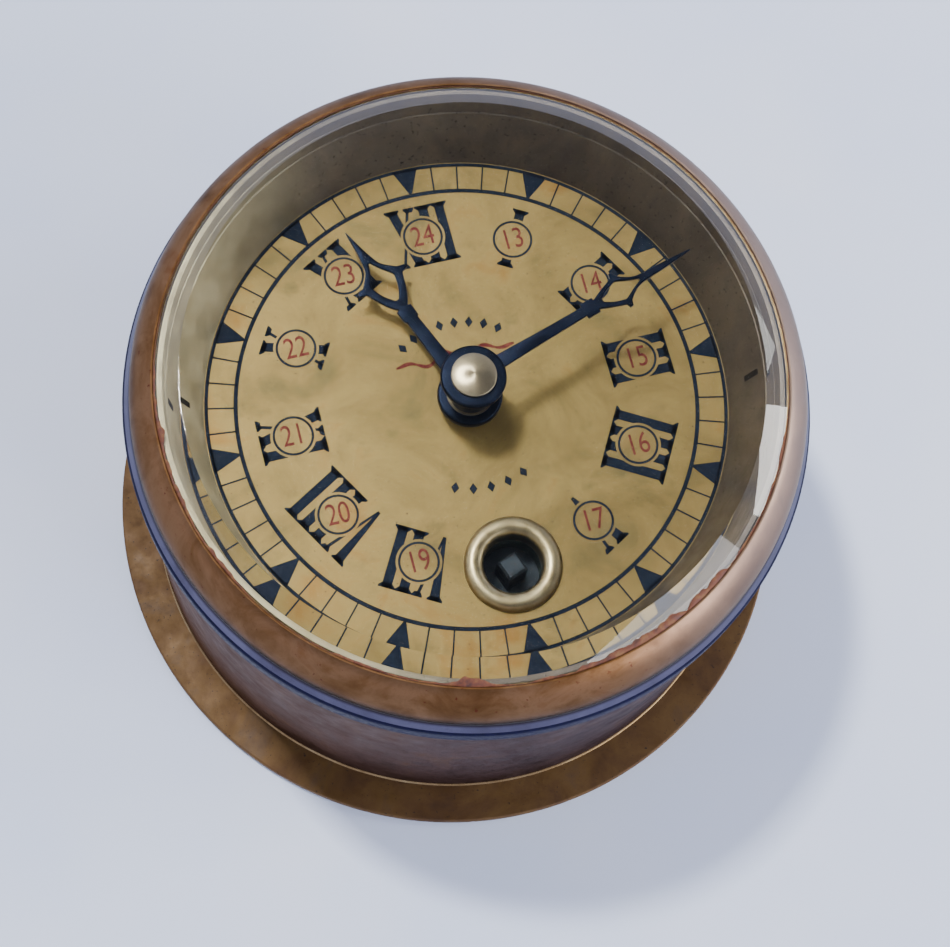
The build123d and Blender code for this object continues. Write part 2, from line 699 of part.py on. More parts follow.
def click_spring():
    """A leaf spring that stands behind the click, with its foot on the front plate."""
    foot = polar(CLICK_PIVOT, 8.0, 80)
    tip = polar(CLICK_PIVOT, 3.6, 118)
    leaf = bar(foot, tip, 0.35, RATCHET_LAYER[0], RATCHET_LAYER[1] - 0.2)
    return leaf + disc(1.1, FRONT_PLATE_TOP_Z, RATCHET_LAYER[1], foot)


# ---- going train ----
INTERMEDIATE_ARBOR_R = 1.1
TRAIN_ARBOR_R = 0.7


def intermediate_arbor():
    leaves_layer = (BARREL_LAYER[0] - 0.3, BARREL_LAYER[1] + 0.3)
    low, high = REAR_PLATE_TOP_Z + 0.2, leaves_layer[1] + 0.05
    body = arbor(INTERMEDIATE, INTERMEDIATE_ARBOR_R, low, high, REAR_PLATE_Z, FRONT_PLATE_TOP_Z)
    return body + pinion(INTERMEDIATE_LEAVES, BARREL_MODULE, leaves_layer, INTERMEDIATE, BARREL)


def intermediate_wheel():
    angle = bearing(INTERMEDIATE, CENTRE)
    layer = INTERMEDIATE_LAYER
    wheel = spoked_wheel(INTERMEDIATE_TEETH, INTERMEDIATE_MODULE, layer, INTERMEDIATE, angle, 2.0, 5)
    return wheel - disc(INTERMEDIATE_ARBOR_R, 0, 60, INTERMEDIATE)


def centre_arbor():
    leaves_layer = (INTERMEDIATE_LAYER[0] - 0.3, INTERMEDIATE_LAYER[1] + 0.3)
    low = REAR_PLATE_TOP_Z + 0.1
    body = disc(CENTRE_ARBOR_R, low, MINUTE_BOSS_LAYER[1] + 0.5)
    body += disc(PIVOT_R, REAR_PLATE_Z, low + 1)
    return body + pinion(CENTRE_LEAVES, INTERMEDIATE_MODULE, leaves_layer, CENTRE, INTERMEDIATE)


def centre_wheel():
    angle = bearing(CENTRE, THIRD)
    wheel = spoked_wheel(CENTRE_TEETH, CENTRE_MODULE, CENTRE_LAYER, CENTRE, angle, 2.2, 4)
    return wheel - disc(CENTRE_ARBOR_R, 0, 60)


def train_arbor(centre, leaves, module, layer, driver):
    low, high = REAR_PLATE_TOP_Z + 0.2, FRONT_PLATE_Z - 0.2
    body = arbor(centre, TRAIN_ARBOR_R, low, high, REAR_PLATE_Z, FRONT_PLATE_TOP_Z)
    return body + pinion(leaves, module, (layer[0] - 0.4, layer[1] + 0.2), centre, driver)


def third_arbor():
    return train_arbor(THIRD, THIRD_LEAVES, CENTRE_MODULE, CENTRE_LAYER, CENTRE)


def third_wheel():
    angle = bearing(THIRD, FOURTH)
    wheel = spoked_wheel(THIRD_TEETH, THIRD_MODULE, THIRD_LAYER, THIRD, angle, 1.6, 4)
    return wheel - disc(TRAIN_ARBOR_R, 0, 60, THIRD)


def fourth_arbor():
    return train_arbor(FOURTH, FOURTH_LEAVES, THIRD_MODULE, THIRD_LAYER, THIRD)


def fourth_wheel():
    angle = bearing(FOURTH, ESCAPE)
    wheel = spoked_wheel(FOURTH_TEETH, FOURTH_MODULE, FOURTH_LAYER, FOURTH, angle, 1.5, 4)
    return wheel - disc(TRAIN_ARBOR_R, 0, 60, FOURTH)


# ---- escapement ----
def escape_arbor():
    body = disc(0.6, ESCAPE_LAYER[0] - 0.5, FRONT_PLATE_Z - 0.2, ESCAPE)
    body += disc(PIVOT_R, ESCAPE_COCK_LAYER[0], FRONT_PLATE_TOP_Z, ESCAPE)
    layer = (FOURTH_LAYER[0] - 0.4, FOURTH_LAYER[1] + 0.4)
    return body + pinion(ESCAPE_LEAVES, FOURTH_MODULE, layer, ESCAPE, FOURTH)


def escape_wheel():
    """Fifteen slanted teeth on a light rim with five spokes."""
    outline = []
    pitch = 360 / ESCAPE_TEETH
    for index in range(ESCAPE_TEETH):
        start = index * pitch
        outline.append(polar(ESCAPE, ESCAPE_R, start))
        outline.append(polar(ESCAPE, ESCAPE_R, start + 0.12 * pitch))
        outline.append(polar(ESCAPE, ESCAPE_R - 1.3, start + 0.30 * pitch))
        outline.append(polar(ESCAPE, ESCAPE_R - 1.3, start + 0.75 * pitch))
    body = plate(outline, *ESCAPE_LAYER)
    low, high = ESCAPE_LAYER[0] - 1, ESCAPE_LAYER[1] + 1
    window = ring(ESCAPE_R - 1.8, 1.2, low, high, ESCAPE)
    for index in range(5):
        angle = index * 72
        window -= block(ESCAPE_R, 0.5, low, high, polar(ESCAPE, ESCAPE_R / 2, angle), angle)
    return body - window - disc(0.6, 0, 60, ESCAPE)


def lever_point(centre, along, across):
    return polar(polar(centre, along, LEVER_ANGLE), across, LEVER_ANGLE + 90)


def pallet_fork():
    """The lever: two pallet arms over the escape wheel and a forked tail at the balance."""
    body = disc(1.0, *PALLET_LAYER, PALLET)
    body += bar(PALLET, lever_point(PALLET, 5.4, 0), 0.7, *PALLET_LAYER)
    horns = [
        lever_point(PALLET, 5.2, 0.35),
        lever_point(PALLET, 6.6, 0.75),
        lever_point(PALLET, 6.6, 0.35),
        lever_point(PALLET, 5.8, 0.22),
        lever_point(PALLET, 5.8, -0.22),
        lever_point(PALLET, 6.6, -0.35),
        lever_point(PALLET, 6.6, -0.75),
        lever_point(PALLET, 5.2, -0.35),
    ]
    body += plate(horns, *PALLET_LAYER)
    for side in (1, -1):
        body += bar(PALLET, lever_point(PALLET, *stone_place(side)), 0.8, *PALLET_LAYER)
    for stone in stone_blocks():
        body -= stone
    return body - disc(PIVOT_R, PALLET_LAYER[0] - 1, PALLET_LAYER[1] + 1, PALLET)


def stone_place(side):
    """Where a pallet stone's middle is from the pallet arbor, along the lever and across it."""
    return (-2.15, side * 3.65)


def stone_blocks():
    stones = []
    for side in (1, -1):
        middle = lever_point(PALLET, *stone_place(side))
        stones.append(block(0.9, 0.45, *PALLET_LAYER, middle, bearing(ESCAPE, middle)))
    return stones


def pallet_stones():
    return Compound(stone_blocks())


def pallet_arbor():
    body = disc(0.6, ESCAPE_COCK_LAYER[1] + 0.15, PALLET_LAYER[0], PALLET)
    body += disc(0.6, PALLET_LAYER[1], REAR_PLATE_Z - 0.1, PALLET)
    return body + disc(0.5, ESCAPE_COCK_LAYER[0], REAR_PLATE_Z + 1.2, PALLET)


ESCAPE_COCK_FOOT = polar(ESCAPE, 7.2, LEVER_ANGLE + 180)
BALANCE_COCK_FOOT = (BALANCE[0], BALANCE[1] - 11.9)


def escape_cock():
    """The cock that carries the lower pivots of the escape wheel and the lever."""
    low, high = ESCAPE_COCK_LAYER
    body = bar(ESCAPE_COCK_FOOT, PALLET, 3.2, low, high)
    body += disc(2.2, low, REAR_PLATE_Z, ESCAPE_COCK_FOOT)
    for at in (ESCAPE, PALLET):
        body -= disc(PIVOT_R + RUNNING_GAP, low - 1, high + 1, at)
    return body - disc(0.8, low - 1, REAR_PLATE_Z + 1, ESCAPE_COCK_FOOT)


def balance_cock():
    low, high = BALANCE_COCK_LAYER
    body = bar(BALANCE_COCK_FOOT, BALANCE, 5.0, low, high)
    body += disc(2.9, low, REAR_PLATE_Z, BALANCE_COCK_FOOT)
    body -= disc(1.2, low - 1, high + 1, BALANCE)
    return body - disc(0.8, low - 1, REAR_PLATE_Z + 1, BALANCE_COCK_FOOT)


def cock_screws():
    screws = []
    for at, cock in ((ESCAPE_COCK_FOOT, ESCAPE_COCK_LAYER), (BALANCE_COCK_FOOT, BALANCE_COCK_LAYER)):
        low = cock[0]
        screws.append(slotted_screw(at, 1.4, 0.8, low - 0.8, low, REAR_PLATE_TOP_Z - 0.2, False))
    return Compound(screws)


def balance_jewel():
    """The pierced jewel in the cock, and the cap over it that the regulator turns on."""
    low, high = BALANCE_COCK_LAYER
    regulator_low = REGULATOR_LAYER[0]
    pierced = ring(1.2, 0.25, low + 0.05, high, BALANCE)
    cap = disc(1.25, regulator_low - 0.1, low, BALANCE)
    cap += disc(2.0, regulator_low - 0.6, regulator_low - 0.05, BALANCE)
    return Compound([pierced, cap])


def balance_wheel():
    """A plain balance: heavy rim, three arms and rim screws."""
    low, high = BALANCE_LAYER
    body = ring(8.2, 7.1, low, high, BALANCE) + disc(1.5, low + 0.3, high - 0.3, BALANCE)
    for index in range(3):
        angle = index * 120 + 30
        body += block(7.0, 0.9, low + 0.3, high - 0.3, polar(BALANCE, 3.9, angle), angle)
    return body - disc(0.6, 0, 60, BALANCE)


def balance_staff():
    body = disc(0.6, HAIRSPRING_LAYER[0] - 0.5, REAR_PLATE_Z - 0.2, BALANCE)
    body += disc(PIVOT_R, REAR_PLATE_Z - 0.4, REAR_PLATE_Z + 1.4, BALANCE)
    return body + disc(0.2, BALANCE_COCK_LAYER[0] + 0.2, HAIRSPRING_LAYER[0], BALANCE)


def roller():
    """The roller with its impulse pin, which faces the lever's fork."""
    low = PALLET_LAYER[0] - 0.5
    body = ring(1.7, 0.6, low, PALLET_LAYER[0] - 0.1, BALANCE)
    return body + disc(0.22, low, PALLET_LAYER[1], polar(BALANCE, 1.25, LEVER_ANGLE + 180))


def hairspring_collet():
    return ring(1.0, 0.6, *HAIRSPRING_LAYER, BALANCE)


def hairspring():
    return spiral_strip(BALANCE, 1.12, 4.1, 7, 0.12, HAIRSPRING_LAYER, 90)


def hairspring_stud():
    at = polar(BALANCE, 4.75, 270)
    return disc(0.45, HAIRSPRING_LAYER[0] - 0.2, HAIRSPRING_LAYER[1] + 0.2, at) + disc(
        0.3, BALANCE_COCK_LAYER[1], HAIRSPRING_LAYER[0], at
    )


def regulator():
    """The index that turns on the balance cock and sets the rate."""
    low, high = REGULATOR_LAYER
    body = disc(2.4, low, high, BALANCE)
    body += bar(BALANCE, polar(BALANCE, 7.5, 90), 0.9, low, high)
    return body - disc(1.3, low - 1, high + 1, BALANCE)


PARTS = [
    case_body, mounting_flange, case_lugs, back_cover, back_cover_screws,
    bezel, glass, glass_retaining_ring, glass_cement,
    dial_plate, dial_seat_ring, dial_surround, dial_feet, dial_foot_pins, winding_eyelet,
    hour_hand, minute_hand, hand_nut, hour_collar,
    cannon_pinion, hour_wheel, minute_wheel, minute_wheel_post,
    front_plate, rear_plate, plate_pillars, plate_screws, movement_posts,
    spring_barrel, barrel_cover, mainspring, barrel_arbor, ratchet_wheel,
    click, click_screw, click_spring,
    intermediate_arbor, intermediate_wheel, centre_arbor, centre_wheel,
    third_arbor, third_wheel, fourth_arbor, fourth_wheel,
    escape_arbor, escape_wheel, pallet_fork, pallet_stones, pallet_arbor,
    escape_cock, balance_cock, cock_screws, balance_jewel,
    balance_wheel, balance_staff, roller, hairspring_collet, hairspring, hairspring_stud, regulator,
]

os.makedirs("parts", exist_ok=True)
for make in PARTS:
    export_step(make(), f"parts/{make.__name__}.step")
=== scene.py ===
import json
import math

import bmesh
import bpy
from mathutils import Matrix, Vector, noise


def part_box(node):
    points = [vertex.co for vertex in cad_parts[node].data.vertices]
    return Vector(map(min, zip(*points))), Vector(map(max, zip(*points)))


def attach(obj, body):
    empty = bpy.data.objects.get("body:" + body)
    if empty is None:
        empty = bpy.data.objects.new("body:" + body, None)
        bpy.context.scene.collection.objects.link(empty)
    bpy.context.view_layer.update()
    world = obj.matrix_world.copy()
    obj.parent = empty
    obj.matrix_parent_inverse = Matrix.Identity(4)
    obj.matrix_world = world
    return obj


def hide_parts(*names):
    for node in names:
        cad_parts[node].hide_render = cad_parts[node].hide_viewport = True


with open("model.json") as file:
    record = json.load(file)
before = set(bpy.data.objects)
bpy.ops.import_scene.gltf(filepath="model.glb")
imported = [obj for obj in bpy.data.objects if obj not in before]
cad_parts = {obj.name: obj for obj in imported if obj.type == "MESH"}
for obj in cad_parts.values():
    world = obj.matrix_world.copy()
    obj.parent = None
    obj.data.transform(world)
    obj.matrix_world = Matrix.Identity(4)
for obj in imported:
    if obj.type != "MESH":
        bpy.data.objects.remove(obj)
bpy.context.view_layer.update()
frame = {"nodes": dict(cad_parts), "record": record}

MM = 0.001


# ---------------------------------------------------------------- places from the frame
def low_z(node):
    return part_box(node)[0].z / MM


def high_z(node):
    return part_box(node)[1].z / MM


def radius_of(node):
    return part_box(node)[1].x / MM


DIAL_Z = high_z("dial_plate")
DIAL_LOW_Z = low_z("dial_plate")
FLANGE_R = radius_of("mounting_flange")
FLANGE_T = high_z("mounting_flange")
DRUM_R = radius_of("case_body")
COLLAR_TOP_Z = high_z("case_body")
BEZEL_R = radius_of("bezel")
BEZEL_LOW_Z = low_z("bezel")
BEZEL_TOP_Z = high_z("bezel")
DRUM_TOP_Z = BEZEL_LOW_Z - 0.4
GLASS_LOW_Z = low_z("glass")
GLASS_TOP_Z = high_z("glass")
RETAINER_LOW_Z = low_z("glass_retaining_ring")
SURROUND_TOP_Z = high_z("dial_surround")
WINDING_AT = (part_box("winding_eyelet")[0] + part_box("winding_eyelet")[1]) / 2 / MM

# Radii inside the case, in millimetres.
DRUM_BORE_R = 43.1
COLLAR_R = 43.9
LIP_R = 41.4
GLASS_R = 41.75
GLASS_BORE_R = 41.85
BEVEL_R = 38.0
RETAINER_BORE_R = 40.9
SURROUND_FOOT_R = 35.15
SURROUND_TOP_R = 39.9
GLASS_EDGE_T = 0.2
BEVEL_SLOPE = (GLASS_TOP_Z - GLASS_LOW_Z - GLASS_EDGE_T) / (GLASS_R - BEVEL_R)
ROUND_STEPS = 256


# ---------------------------------------------------------------- shader helpers
def new_material(name):
    material = bpy.data.materials.new(name)
    material.use_nodes = True
    tree = material.node_tree
    tree.nodes.clear()
    output = tree.nodes.new("ShaderNodeOutputMaterial")
    shader = tree.nodes.new("ShaderNodeBsdfPrincipled")
    tree.links.new(shader.outputs[0], output.inputs[0])
    return material, tree, shader, output


def add_noise(tree, feature_mm, detail=6.0, roughness=0.6, stretch=None, distortion=0.0):
    """Noise whose features are about feature_mm across, in the object's own space."""
    place = tree.nodes.new("ShaderNodeTexCoord")
    pattern = tree.nodes.new("ShaderNodeTexNoise")
    pattern.inputs["Scale"].default_value = 1 / (feature_mm * MM)
    pattern.inputs["Detail"].default_value = detail
    pattern.inputs["Roughness"].default_value = roughness
    pattern.inputs["Distortion"].default_value = distortion
    source = place.outputs["Object"]
    if stretch:
        mapping = tree.nodes.new("ShaderNodeMapping")
        mapping.inputs["Scale"].default_value = stretch
        tree.links.new(source, mapping.inputs[0])
        source = mapping.outputs[0]
    tree.links.new(source, pattern.inputs["Vector"])
    return pattern.outputs["Fac"]


def add_ramp(tree, source, stops):
    ramp = tree.nodes.new("ShaderNodeValToRGB")
    elements = ramp.color_ramp.elements
    while len(elements) < len(stops):
        elements.new(0.5)
    for element, (place, colour) in zip(elements, stops):
        element.position = place
        element.color = (*colour, 1)
    tree.links.new(source, ramp.inputs[0])
    return ramp.outputs[0]


def add_span(tree, source, from_low, from_high, to_low, to_high):
    """Carries one range of values over to another, and stays at its ends outside it."""
    span = tree.nodes.new("ShaderNodeMapRange")
    span.inputs["From Min"].default_value = from_low
    span.inputs["From Max"].default_value = from_high
    span.inputs["To Min"].default_value = to_low
    span.inputs["To Max"].default_value = to_high
    tree.links.new(source, span.inputs[0])
    return span.outputs[0]


def add_mask(tree, source, low, high):
    """0 below low, 1 above high."""
    return add_span(tree, source, low, high, 0.0, 1.0)


def add_range(tree, source, low, high):
    """A noise's usual values, spread from low to high."""
    return add_span(tree, source, 0.3, 0.7, low, high)


def add_place_mask(tree, axis, low_mm, high_mm, most=1.0):
    """0 at low_mm and most at high_mm along the clock's own X, Y or Z."""
    place = tree.nodes.new("ShaderNodeTexCoord")
    split = tree.nodes.new("ShaderNodeSeparateXYZ")
    tree.links.new(place.outputs["Object"], split.inputs[0])
    return add_span(tree, split.outputs["XYZ".index(axis)], low_mm * MM, high_mm * MM, 0.0, most)


def add_mix(tree, share, below, above):
    """Blends from below to above by share. Above may be a fixed colour."""
    mix = tree.nodes.new("ShaderNodeMix")
    mix.data_type = "RGBA"
    tree.links.new(share, mix.inputs["Factor"])
    tree.links.new(below, mix.inputs[6])
    if isinstance(above, tuple):
        mix.inputs[7].default_value = (*above, 1)
    else:
        tree.links.new(above, mix.inputs[7])
    return mix.outputs[2]


def shader_and_colour(material):
    """A material's shader, and what feeds its base colour."""
    shader = next(node for node in material.node_tree.nodes if node.type == "BSDF_PRINCIPLED")
    return shader, shader.inputs["Base Color"].links[0].from_socket


def tint_by_place(material, changes):
    """Lays further tones over a metal's colour, each where its mask along an axis is high."""
    tree = material.node_tree
    shader, colour = shader_and_colour(material)
    for axis, low_mm, high_mm, most, tone in changes:
        colour = add_mix(tree, add_place_mask(tree, axis, low_mm, high_mm, most), colour, tone)
    tree.links.new(colour, shader.inputs["Base Color"])
    return material


def add_bump(tree, shader, source, height_mm, strength=1.0):
    bump = tree.nodes.new("ShaderNodeBump")
    bump.inputs["Distance"].default_value = height_mm * MM
    bump.inputs["Strength"].default_value = strength
    tree.links.new(source, bump.inputs["Height"])
    tree.links.new(bump.outputs[0], shader.inputs["Normal"])


def worn_metal(name, tones, spots, rough, metallic=1.0, patch_mm=9.0, speck_mm=0.5,
               speck_from=0.62, bump_mm=0.03, stretch=None, edge=1.0):
    """Tarnished metal: patches of several tones, dark specks, uneven polish and fine pits.

    An edge below 1 keeps the tarnish dark where the surface is seen at a low angle."""
    material, tree, shader, _ = new_material(name)
    patches = add_noise(tree, patch_mm, detail=8.0, roughness=0.65, stretch=stretch, distortion=0.6)
    share = 1 / max(1, len(tones) - 1)
    colour = add_ramp(tree, patches, [(0.3 + 0.4 * i * share, tone) for i, tone in enumerate(tones)])
    specks = add_noise(tree, speck_mm, detail=3.0)
    colour = add_mix(tree, add_mask(tree, specks, speck_from, speck_from + 0.08), colour, spots)
    stains = add_noise(tree, patch_mm * 0.35, detail=4.0)
    colour = add_mix(tree, add_mask(tree, stains, 0.6, 0.85), colour, tones[0])
    tree.links.new(colour, shader.inputs["Base Color"])
    tree.links.new(add_range(tree, stains, *rough), shader.inputs["Roughness"])
    shader.inputs["Metallic"].default_value = metallic
    shader.inputs["Specular Tint"].default_value = (edge, edge, edge, 1)
    add_bump(tree, shader, specks, bump_mm, 0.5)
    return material


def turned_metal(name, tone, dark, rough, groove_mm=0.12, bump_mm=0.01):
    """Bright metal with rings of turning marks about the clock's own axis."""
    material, tree, shader, _ = new_material(name)
    place = tree.nodes.new("ShaderNodeTexCoord")
    rings = tree.nodes.new("ShaderNodeTexWave")
    rings.wave_type = "RINGS"
    rings.rings_direction = "Z"
    rings.inputs["Scale"].default_value = 1 / (groove_mm * 20 * MM) * math.pi
    rings.inputs["Distortion"].default_value = 1.5
    tree.links.new(place.outputs["Object"], rings.inputs["Vector"])
    cloud = add_noise(tree, 0.4)
    colour = add_ramp(tree, cloud, [(0.3, dark), (0.7, tone)])
    tree.links.new(colour, shader.inputs["Base Color"])
    tree.links.new(add_range(tree, cloud, *rough), shader.inputs["Roughness"])
    shader.inputs["Metallic"].default_value = 1.0
    shader.inputs["Anisotropic"].default_value = 0.8
    around = tree.nodes.new("ShaderNodeTangent")
    around.direction_type = "RADIAL"
    around.axis = "Z"
    tree.links.new(around.outputs[0], shader.inputs["Tangent"])
    add_bump(tree, shader, rings.outputs["Fac"], bump_mm, 0.4)
    return material


def ink(name, tone, worn, rough=(0.7, 0.9)):
    """Printed ink, a little uneven and worn in places."""
    material, tree, shader, _ = new_material(name)
    cloud = add_noise(tree, 0.7, detail=5.0)
    colour = add_ramp(tree, cloud, [(0.35, tone), (0.75, worn)])
    tree.links.new(colour, shader.inputs["Base Color"])
    tree.links.new(add_range(tree, cloud, *rough), shader.inputs["Roughness"])
    shader.inputs["Specular IOR Level"].default_value = 0.04
    add_bump(tree, shader, cloud, 0.004, 0.4)
    return material


def glass_material():
    """Clear glass that lets the lamps' light through to the dial."""
    material, tree, shader, output = new_material("clear_glass")
    shader.inputs["Base Color"].default_value = (0.95, 0.985, 0.965, 1)
    shader.inputs["Transmission Weight"].default_value = 1.0
    shader.inputs["IOR"].default_value = 1.5
    smear = add_noise(tree, 14.0, detail=4.0)
    tree.links.new(add_range(tree, smear, 0.0, 0.035), shader.inputs["Roughness"])
    clear = tree.nodes.new("ShaderNodeBsdfTransparent")
    clear.inputs["Color"].default_value = (0.93, 0.95, 0.93, 1)
    path = tree.nodes.new("ShaderNodeLightPath")
    mix = tree.nodes.new("ShaderNodeMixShader")
    tree.links.new(path.outputs["Is Shadow Ray"], mix.inputs[0])
    tree.links.new(shader.outputs[0], mix.inputs[1])
    tree.links.new(clear.outputs[0], mix.inputs[2])
    tree.links.new(mix.outputs[0], output.inputs[0])
    return material


def wall_metal():
    """The wall round the dial: dull brown, with painted light making it lighter brass towards the IX side."""
    tones = [(0.055, 0.042, 0.035), (0.085, 0.066, 0.052), (0.12, 0.092, 0.066)]
    material = worn_metal(
        "wall_brass", tones, (0.03, 0.022, 0.015), (0.35, 0.55), metallic=0.7, patch_mm=10.0, speck_mm=0.6,
        stretch=(1, 1, 0.3))
    tree = material.node_tree
    shader, dark = shader_and_colour(material)
    # Painted light: the wall is blended to lighter brass towards the IX side.
    lit_side_share = add_place_mask(tree, "X", -12, -34)
    cloud = add_noise(tree, 7.0, detail=4.0)
    bright = add_ramp(tree, cloud, [(0.3, (0.26, 0.21, 0.12)), (0.7, (0.46, 0.39, 0.25))])
    tree.links.new(add_mix(tree, lit_side_share, dark, bright), shader.inputs["Base Color"])
    return material


def cement_material():
    material, tree, shader, _ = new_material("old_cement")
    cloud = add_noise(tree, 1.2, detail=6.0)
    colour = add_ramp(tree, cloud, [
        (0.3, (0.04, 0.010, 0.006)), (0.5, (0.13, 0.034, 0.012)), (0.72, (0.22, 0.11, 0.040)),
    ])
    tree.links.new(colour, shader.inputs["Base Color"])
    tree.links.new(add_range(tree, cloud, 0.5, 0.85), shader.inputs["Roughness"])
    add_bump(tree, shader, cloud, 0.08)
    return material


# ---------------------------------------------------------------- materials
# worn_metal takes its tones, its specks' colour and its roughness, low and high. tint_by_place takes an axis,
# where the tint starts and is full along it in millimetres, how strong it gets, and its colour.
DRUM_TONES = [(0.040, 0.022, 0.022), (0.065, 0.040, 0.040), (0.092, 0.058, 0.055), (0.125, 0.066, 0.040)]
DRUM_BRASS = worn_metal(
    "drum_brass", DRUM_TONES, (0.015, 0.008, 0.012), (0.40, 0.62),
    patch_mm=9.0, speck_mm=0.6, speck_from=0.60, edge=0.7)
tint_by_place(DRUM_BRASS, [("X", 5, -40, 0.55, (0.12, 0.050, 0.018))])

FLANGE_TONES = [(0.055, 0.023, 0.006), (0.088, 0.040, 0.009), (0.118, 0.060, 0.014), (0.080, 0.044, 0.020)]
FLANGE_BRASS = worn_metal(
    "flange_brass", FLANGE_TONES, (0.015, 0.008, 0.005), (0.5, 0.75),
    metallic=0.35, patch_mm=11.0, speck_mm=0.45, speck_from=0.65)

BEAD_TONES = [(0.080, 0.034, 0.011), (0.120, 0.057, 0.022), (0.165, 0.086, 0.040), (0.130, 0.056, 0.021)]
BEAD_BRASS = worn_metal(
    "bead_brass", BEAD_TONES, (0.08, 0.016, 0.008), (0.28, 0.42),
    patch_mm=8.0, speck_mm=0.8, speck_from=0.66, edge=0.6)
# Painted light on the bead: a painted reflection makes it lighter and pinker towards the III side, and
# painted shade darkens its lower edge.
tint_by_place(BEAD_BRASS, [
    ("X", 8, 42, 0.75, (0.34, 0.25, 0.20)),
    ("Z", BEZEL_TOP_Z - 4.6, BEZEL_TOP_Z - 6.6, 0.9, (0.014, 0.006, 0.004)),
])

# The skirt's lavender tones are a painted reflection of the pale floor. Painted shade darkens its top under
# the bead and turns its foot navy above the rim.
SKIRT_REFLECTION_TONES = [(0.060, 0.053, 0.080), (0.085, 0.078, 0.120), (0.115, 0.105, 0.155)]
SKIRT_PAINTED_LIGHT = worn_metal(
    "skirt_brass_painted_light", SKIRT_REFLECTION_TONES, (0.05, 0.03, 0.05), (0.12, 0.24),
    patch_mm=10.0, speck_mm=0.9, speck_from=0.7, bump_mm=0.01)
tint_by_place(SKIRT_PAINTED_LIGHT, [
    ("Z", BEZEL_TOP_Z - 7.4, BEZEL_TOP_Z - 7.0, 0.95, (0.012, 0.006, 0.006)),
    ("Z", BEZEL_LOW_Z + 3.5, BEZEL_LOW_Z + 3.35, 0.95, (0.006, 0.005, 0.022)),
])

# The bezel's rim is drawn in near-black navy as painted shade.
RIM_PAINTED_SHADE = ink("bezel_rim_painted_shade", (0.003, 0.003, 0.018), (0.007, 0.006, 0.034), (0.3, 0.5))
INNER_BRASS = worn_metal(
    "inner_brass", [(0.055, 0.042, 0.035), (0.09, 0.07, 0.055), (0.13, 0.10, 0.07)],
    (0.03, 0.022, 0.015), (0.35, 0.55), patch_mm=10.0, speck_mm=0.6, stretch=(1, 1, 0.3))
WALL_BRASS = wall_metal()
RETAINER_BRASS = worn_metal(
    "retainer_brass", [(0.055, 0.036, 0.018), (0.10, 0.066, 0.030), (0.15, 0.10, 0.048)],
    (0.06, 0.03, 0.02), (0.28, 0.5), patch_mm=7.0, speck_mm=0.6)
DIAL_TONES = [(0.080, 0.057, 0.018), (0.124, 0.081, 0.023), (0.162, 0.108, 0.033), (0.148, 0.074, 0.013)]
DIAL_BRASS = worn_metal(
    "dial_brass", DIAL_TONES, (0.05, 0.032, 0.014), (0.38, 0.55),
    metallic=0.75, patch_mm=12.0, speck_mm=0.4, speck_from=0.64, bump_mm=0.006)
COVER_BRASS = worn_metal(
    "cover_brass", [(0.22, 0.13, 0.06), (0.40, 0.27, 0.12), (0.50, 0.36, 0.18)],
    (0.05, 0.03, 0.02), (0.3, 0.55), patch_mm=12.0, speck_mm=0.6)
EYELET_BRASS = worn_metal(
    "eyelet_brass", [(0.28, 0.21, 0.11), (0.37, 0.29, 0.165), (0.44, 0.36, 0.22)],
    (0.18, 0.12, 0.06), (0.28, 0.40), patch_mm=3.0, speck_mm=0.4, speck_from=0.7, bump_mm=0.006)
MOVEMENT_BRASS = worn_metal(
    "movement_brass", [(0.62, 0.45, 0.20), (0.76, 0.58, 0.28), (0.82, 0.66, 0.36)],
    (0.36, 0.24, 0.10), (0.22, 0.38), patch_mm=6.0, speck_mm=0.4, speck_from=0.7, bump_mm=0.008)
STEEL = worn_metal(
    "polished_steel", [(0.33, 0.34, 0.36), (0.50, 0.51, 0.53), (0.60, 0.61, 0.62)],
    (0.20, 0.16, 0.13), (0.18, 0.32), patch_mm=3.0, speck_mm=0.3, speck_from=0.7, bump_mm=0.005)
DARK_STEEL = worn_metal(
    "dark_steel", [(0.03, 0.035, 0.05), (0.07, 0.08, 0.10), (0.12, 0.12, 0.13)],
    (0.10, 0.05, 0.03), (0.25, 0.45), patch_mm=2.5, speck_mm=0.3, bump_mm=0.01)
# The winding square's steel is darkened to near black as painted shade at the bottom of the winding hole.
DULL_STEEL_PAINTED_SHADE = worn_metal(
    "arbor_steel_painted_shade", [(0.012, 0.015, 0.019), (0.022, 0.027, 0.034), (0.035, 0.040, 0.048)],
    (0.05, 0.03, 0.02), (0.5, 0.7), patch_mm=2.5, speck_mm=0.3, bump_mm=0.01)
BLUED_STEEL = worn_metal(
    "blued_steel", [(0.004, 0.006, 0.011), (0.006, 0.008, 0.017), (0.010, 0.013, 0.025)],
    (0.003, 0.003, 0.006), (0.30, 0.5), patch_mm=4.0, speck_mm=0.4, bump_mm=0.004)
SPRING_STEEL = worn_metal(
    "spring_steel", [(0.10, 0.14, 0.26), (0.16, 0.20, 0.34), (0.24, 0.26, 0.36)],
    (0.05, 0.05, 0.08), (0.2, 0.35), patch_mm=3.0, speck_mm=0.3, bump_mm=0.004)
NUT_STEEL = turned_metal("turned_nut", (0.44, 0.35, 0.23), (0.38, 0.30, 0.20), (0.28, 0.36), bump_mm=0.002)
SOLDER = worn_metal(
    "bright_solder", [(0.14, 0.085, 0.035), (0.20, 0.13, 0.06), (0.25, 0.18, 0.09)],
    (0.20, 0.12, 0.05), (0.2, 0.4), patch_mm=5.0, bump_mm=0.01)
BLACK_INK = ink("black_ink", (0.004, 0.006, 0.013), (0.010, 0.013, 0.022))
RED_INK = ink("maroon_ink", (0.065, 0.008, 0.010), (0.115, 0.030, 0.022))
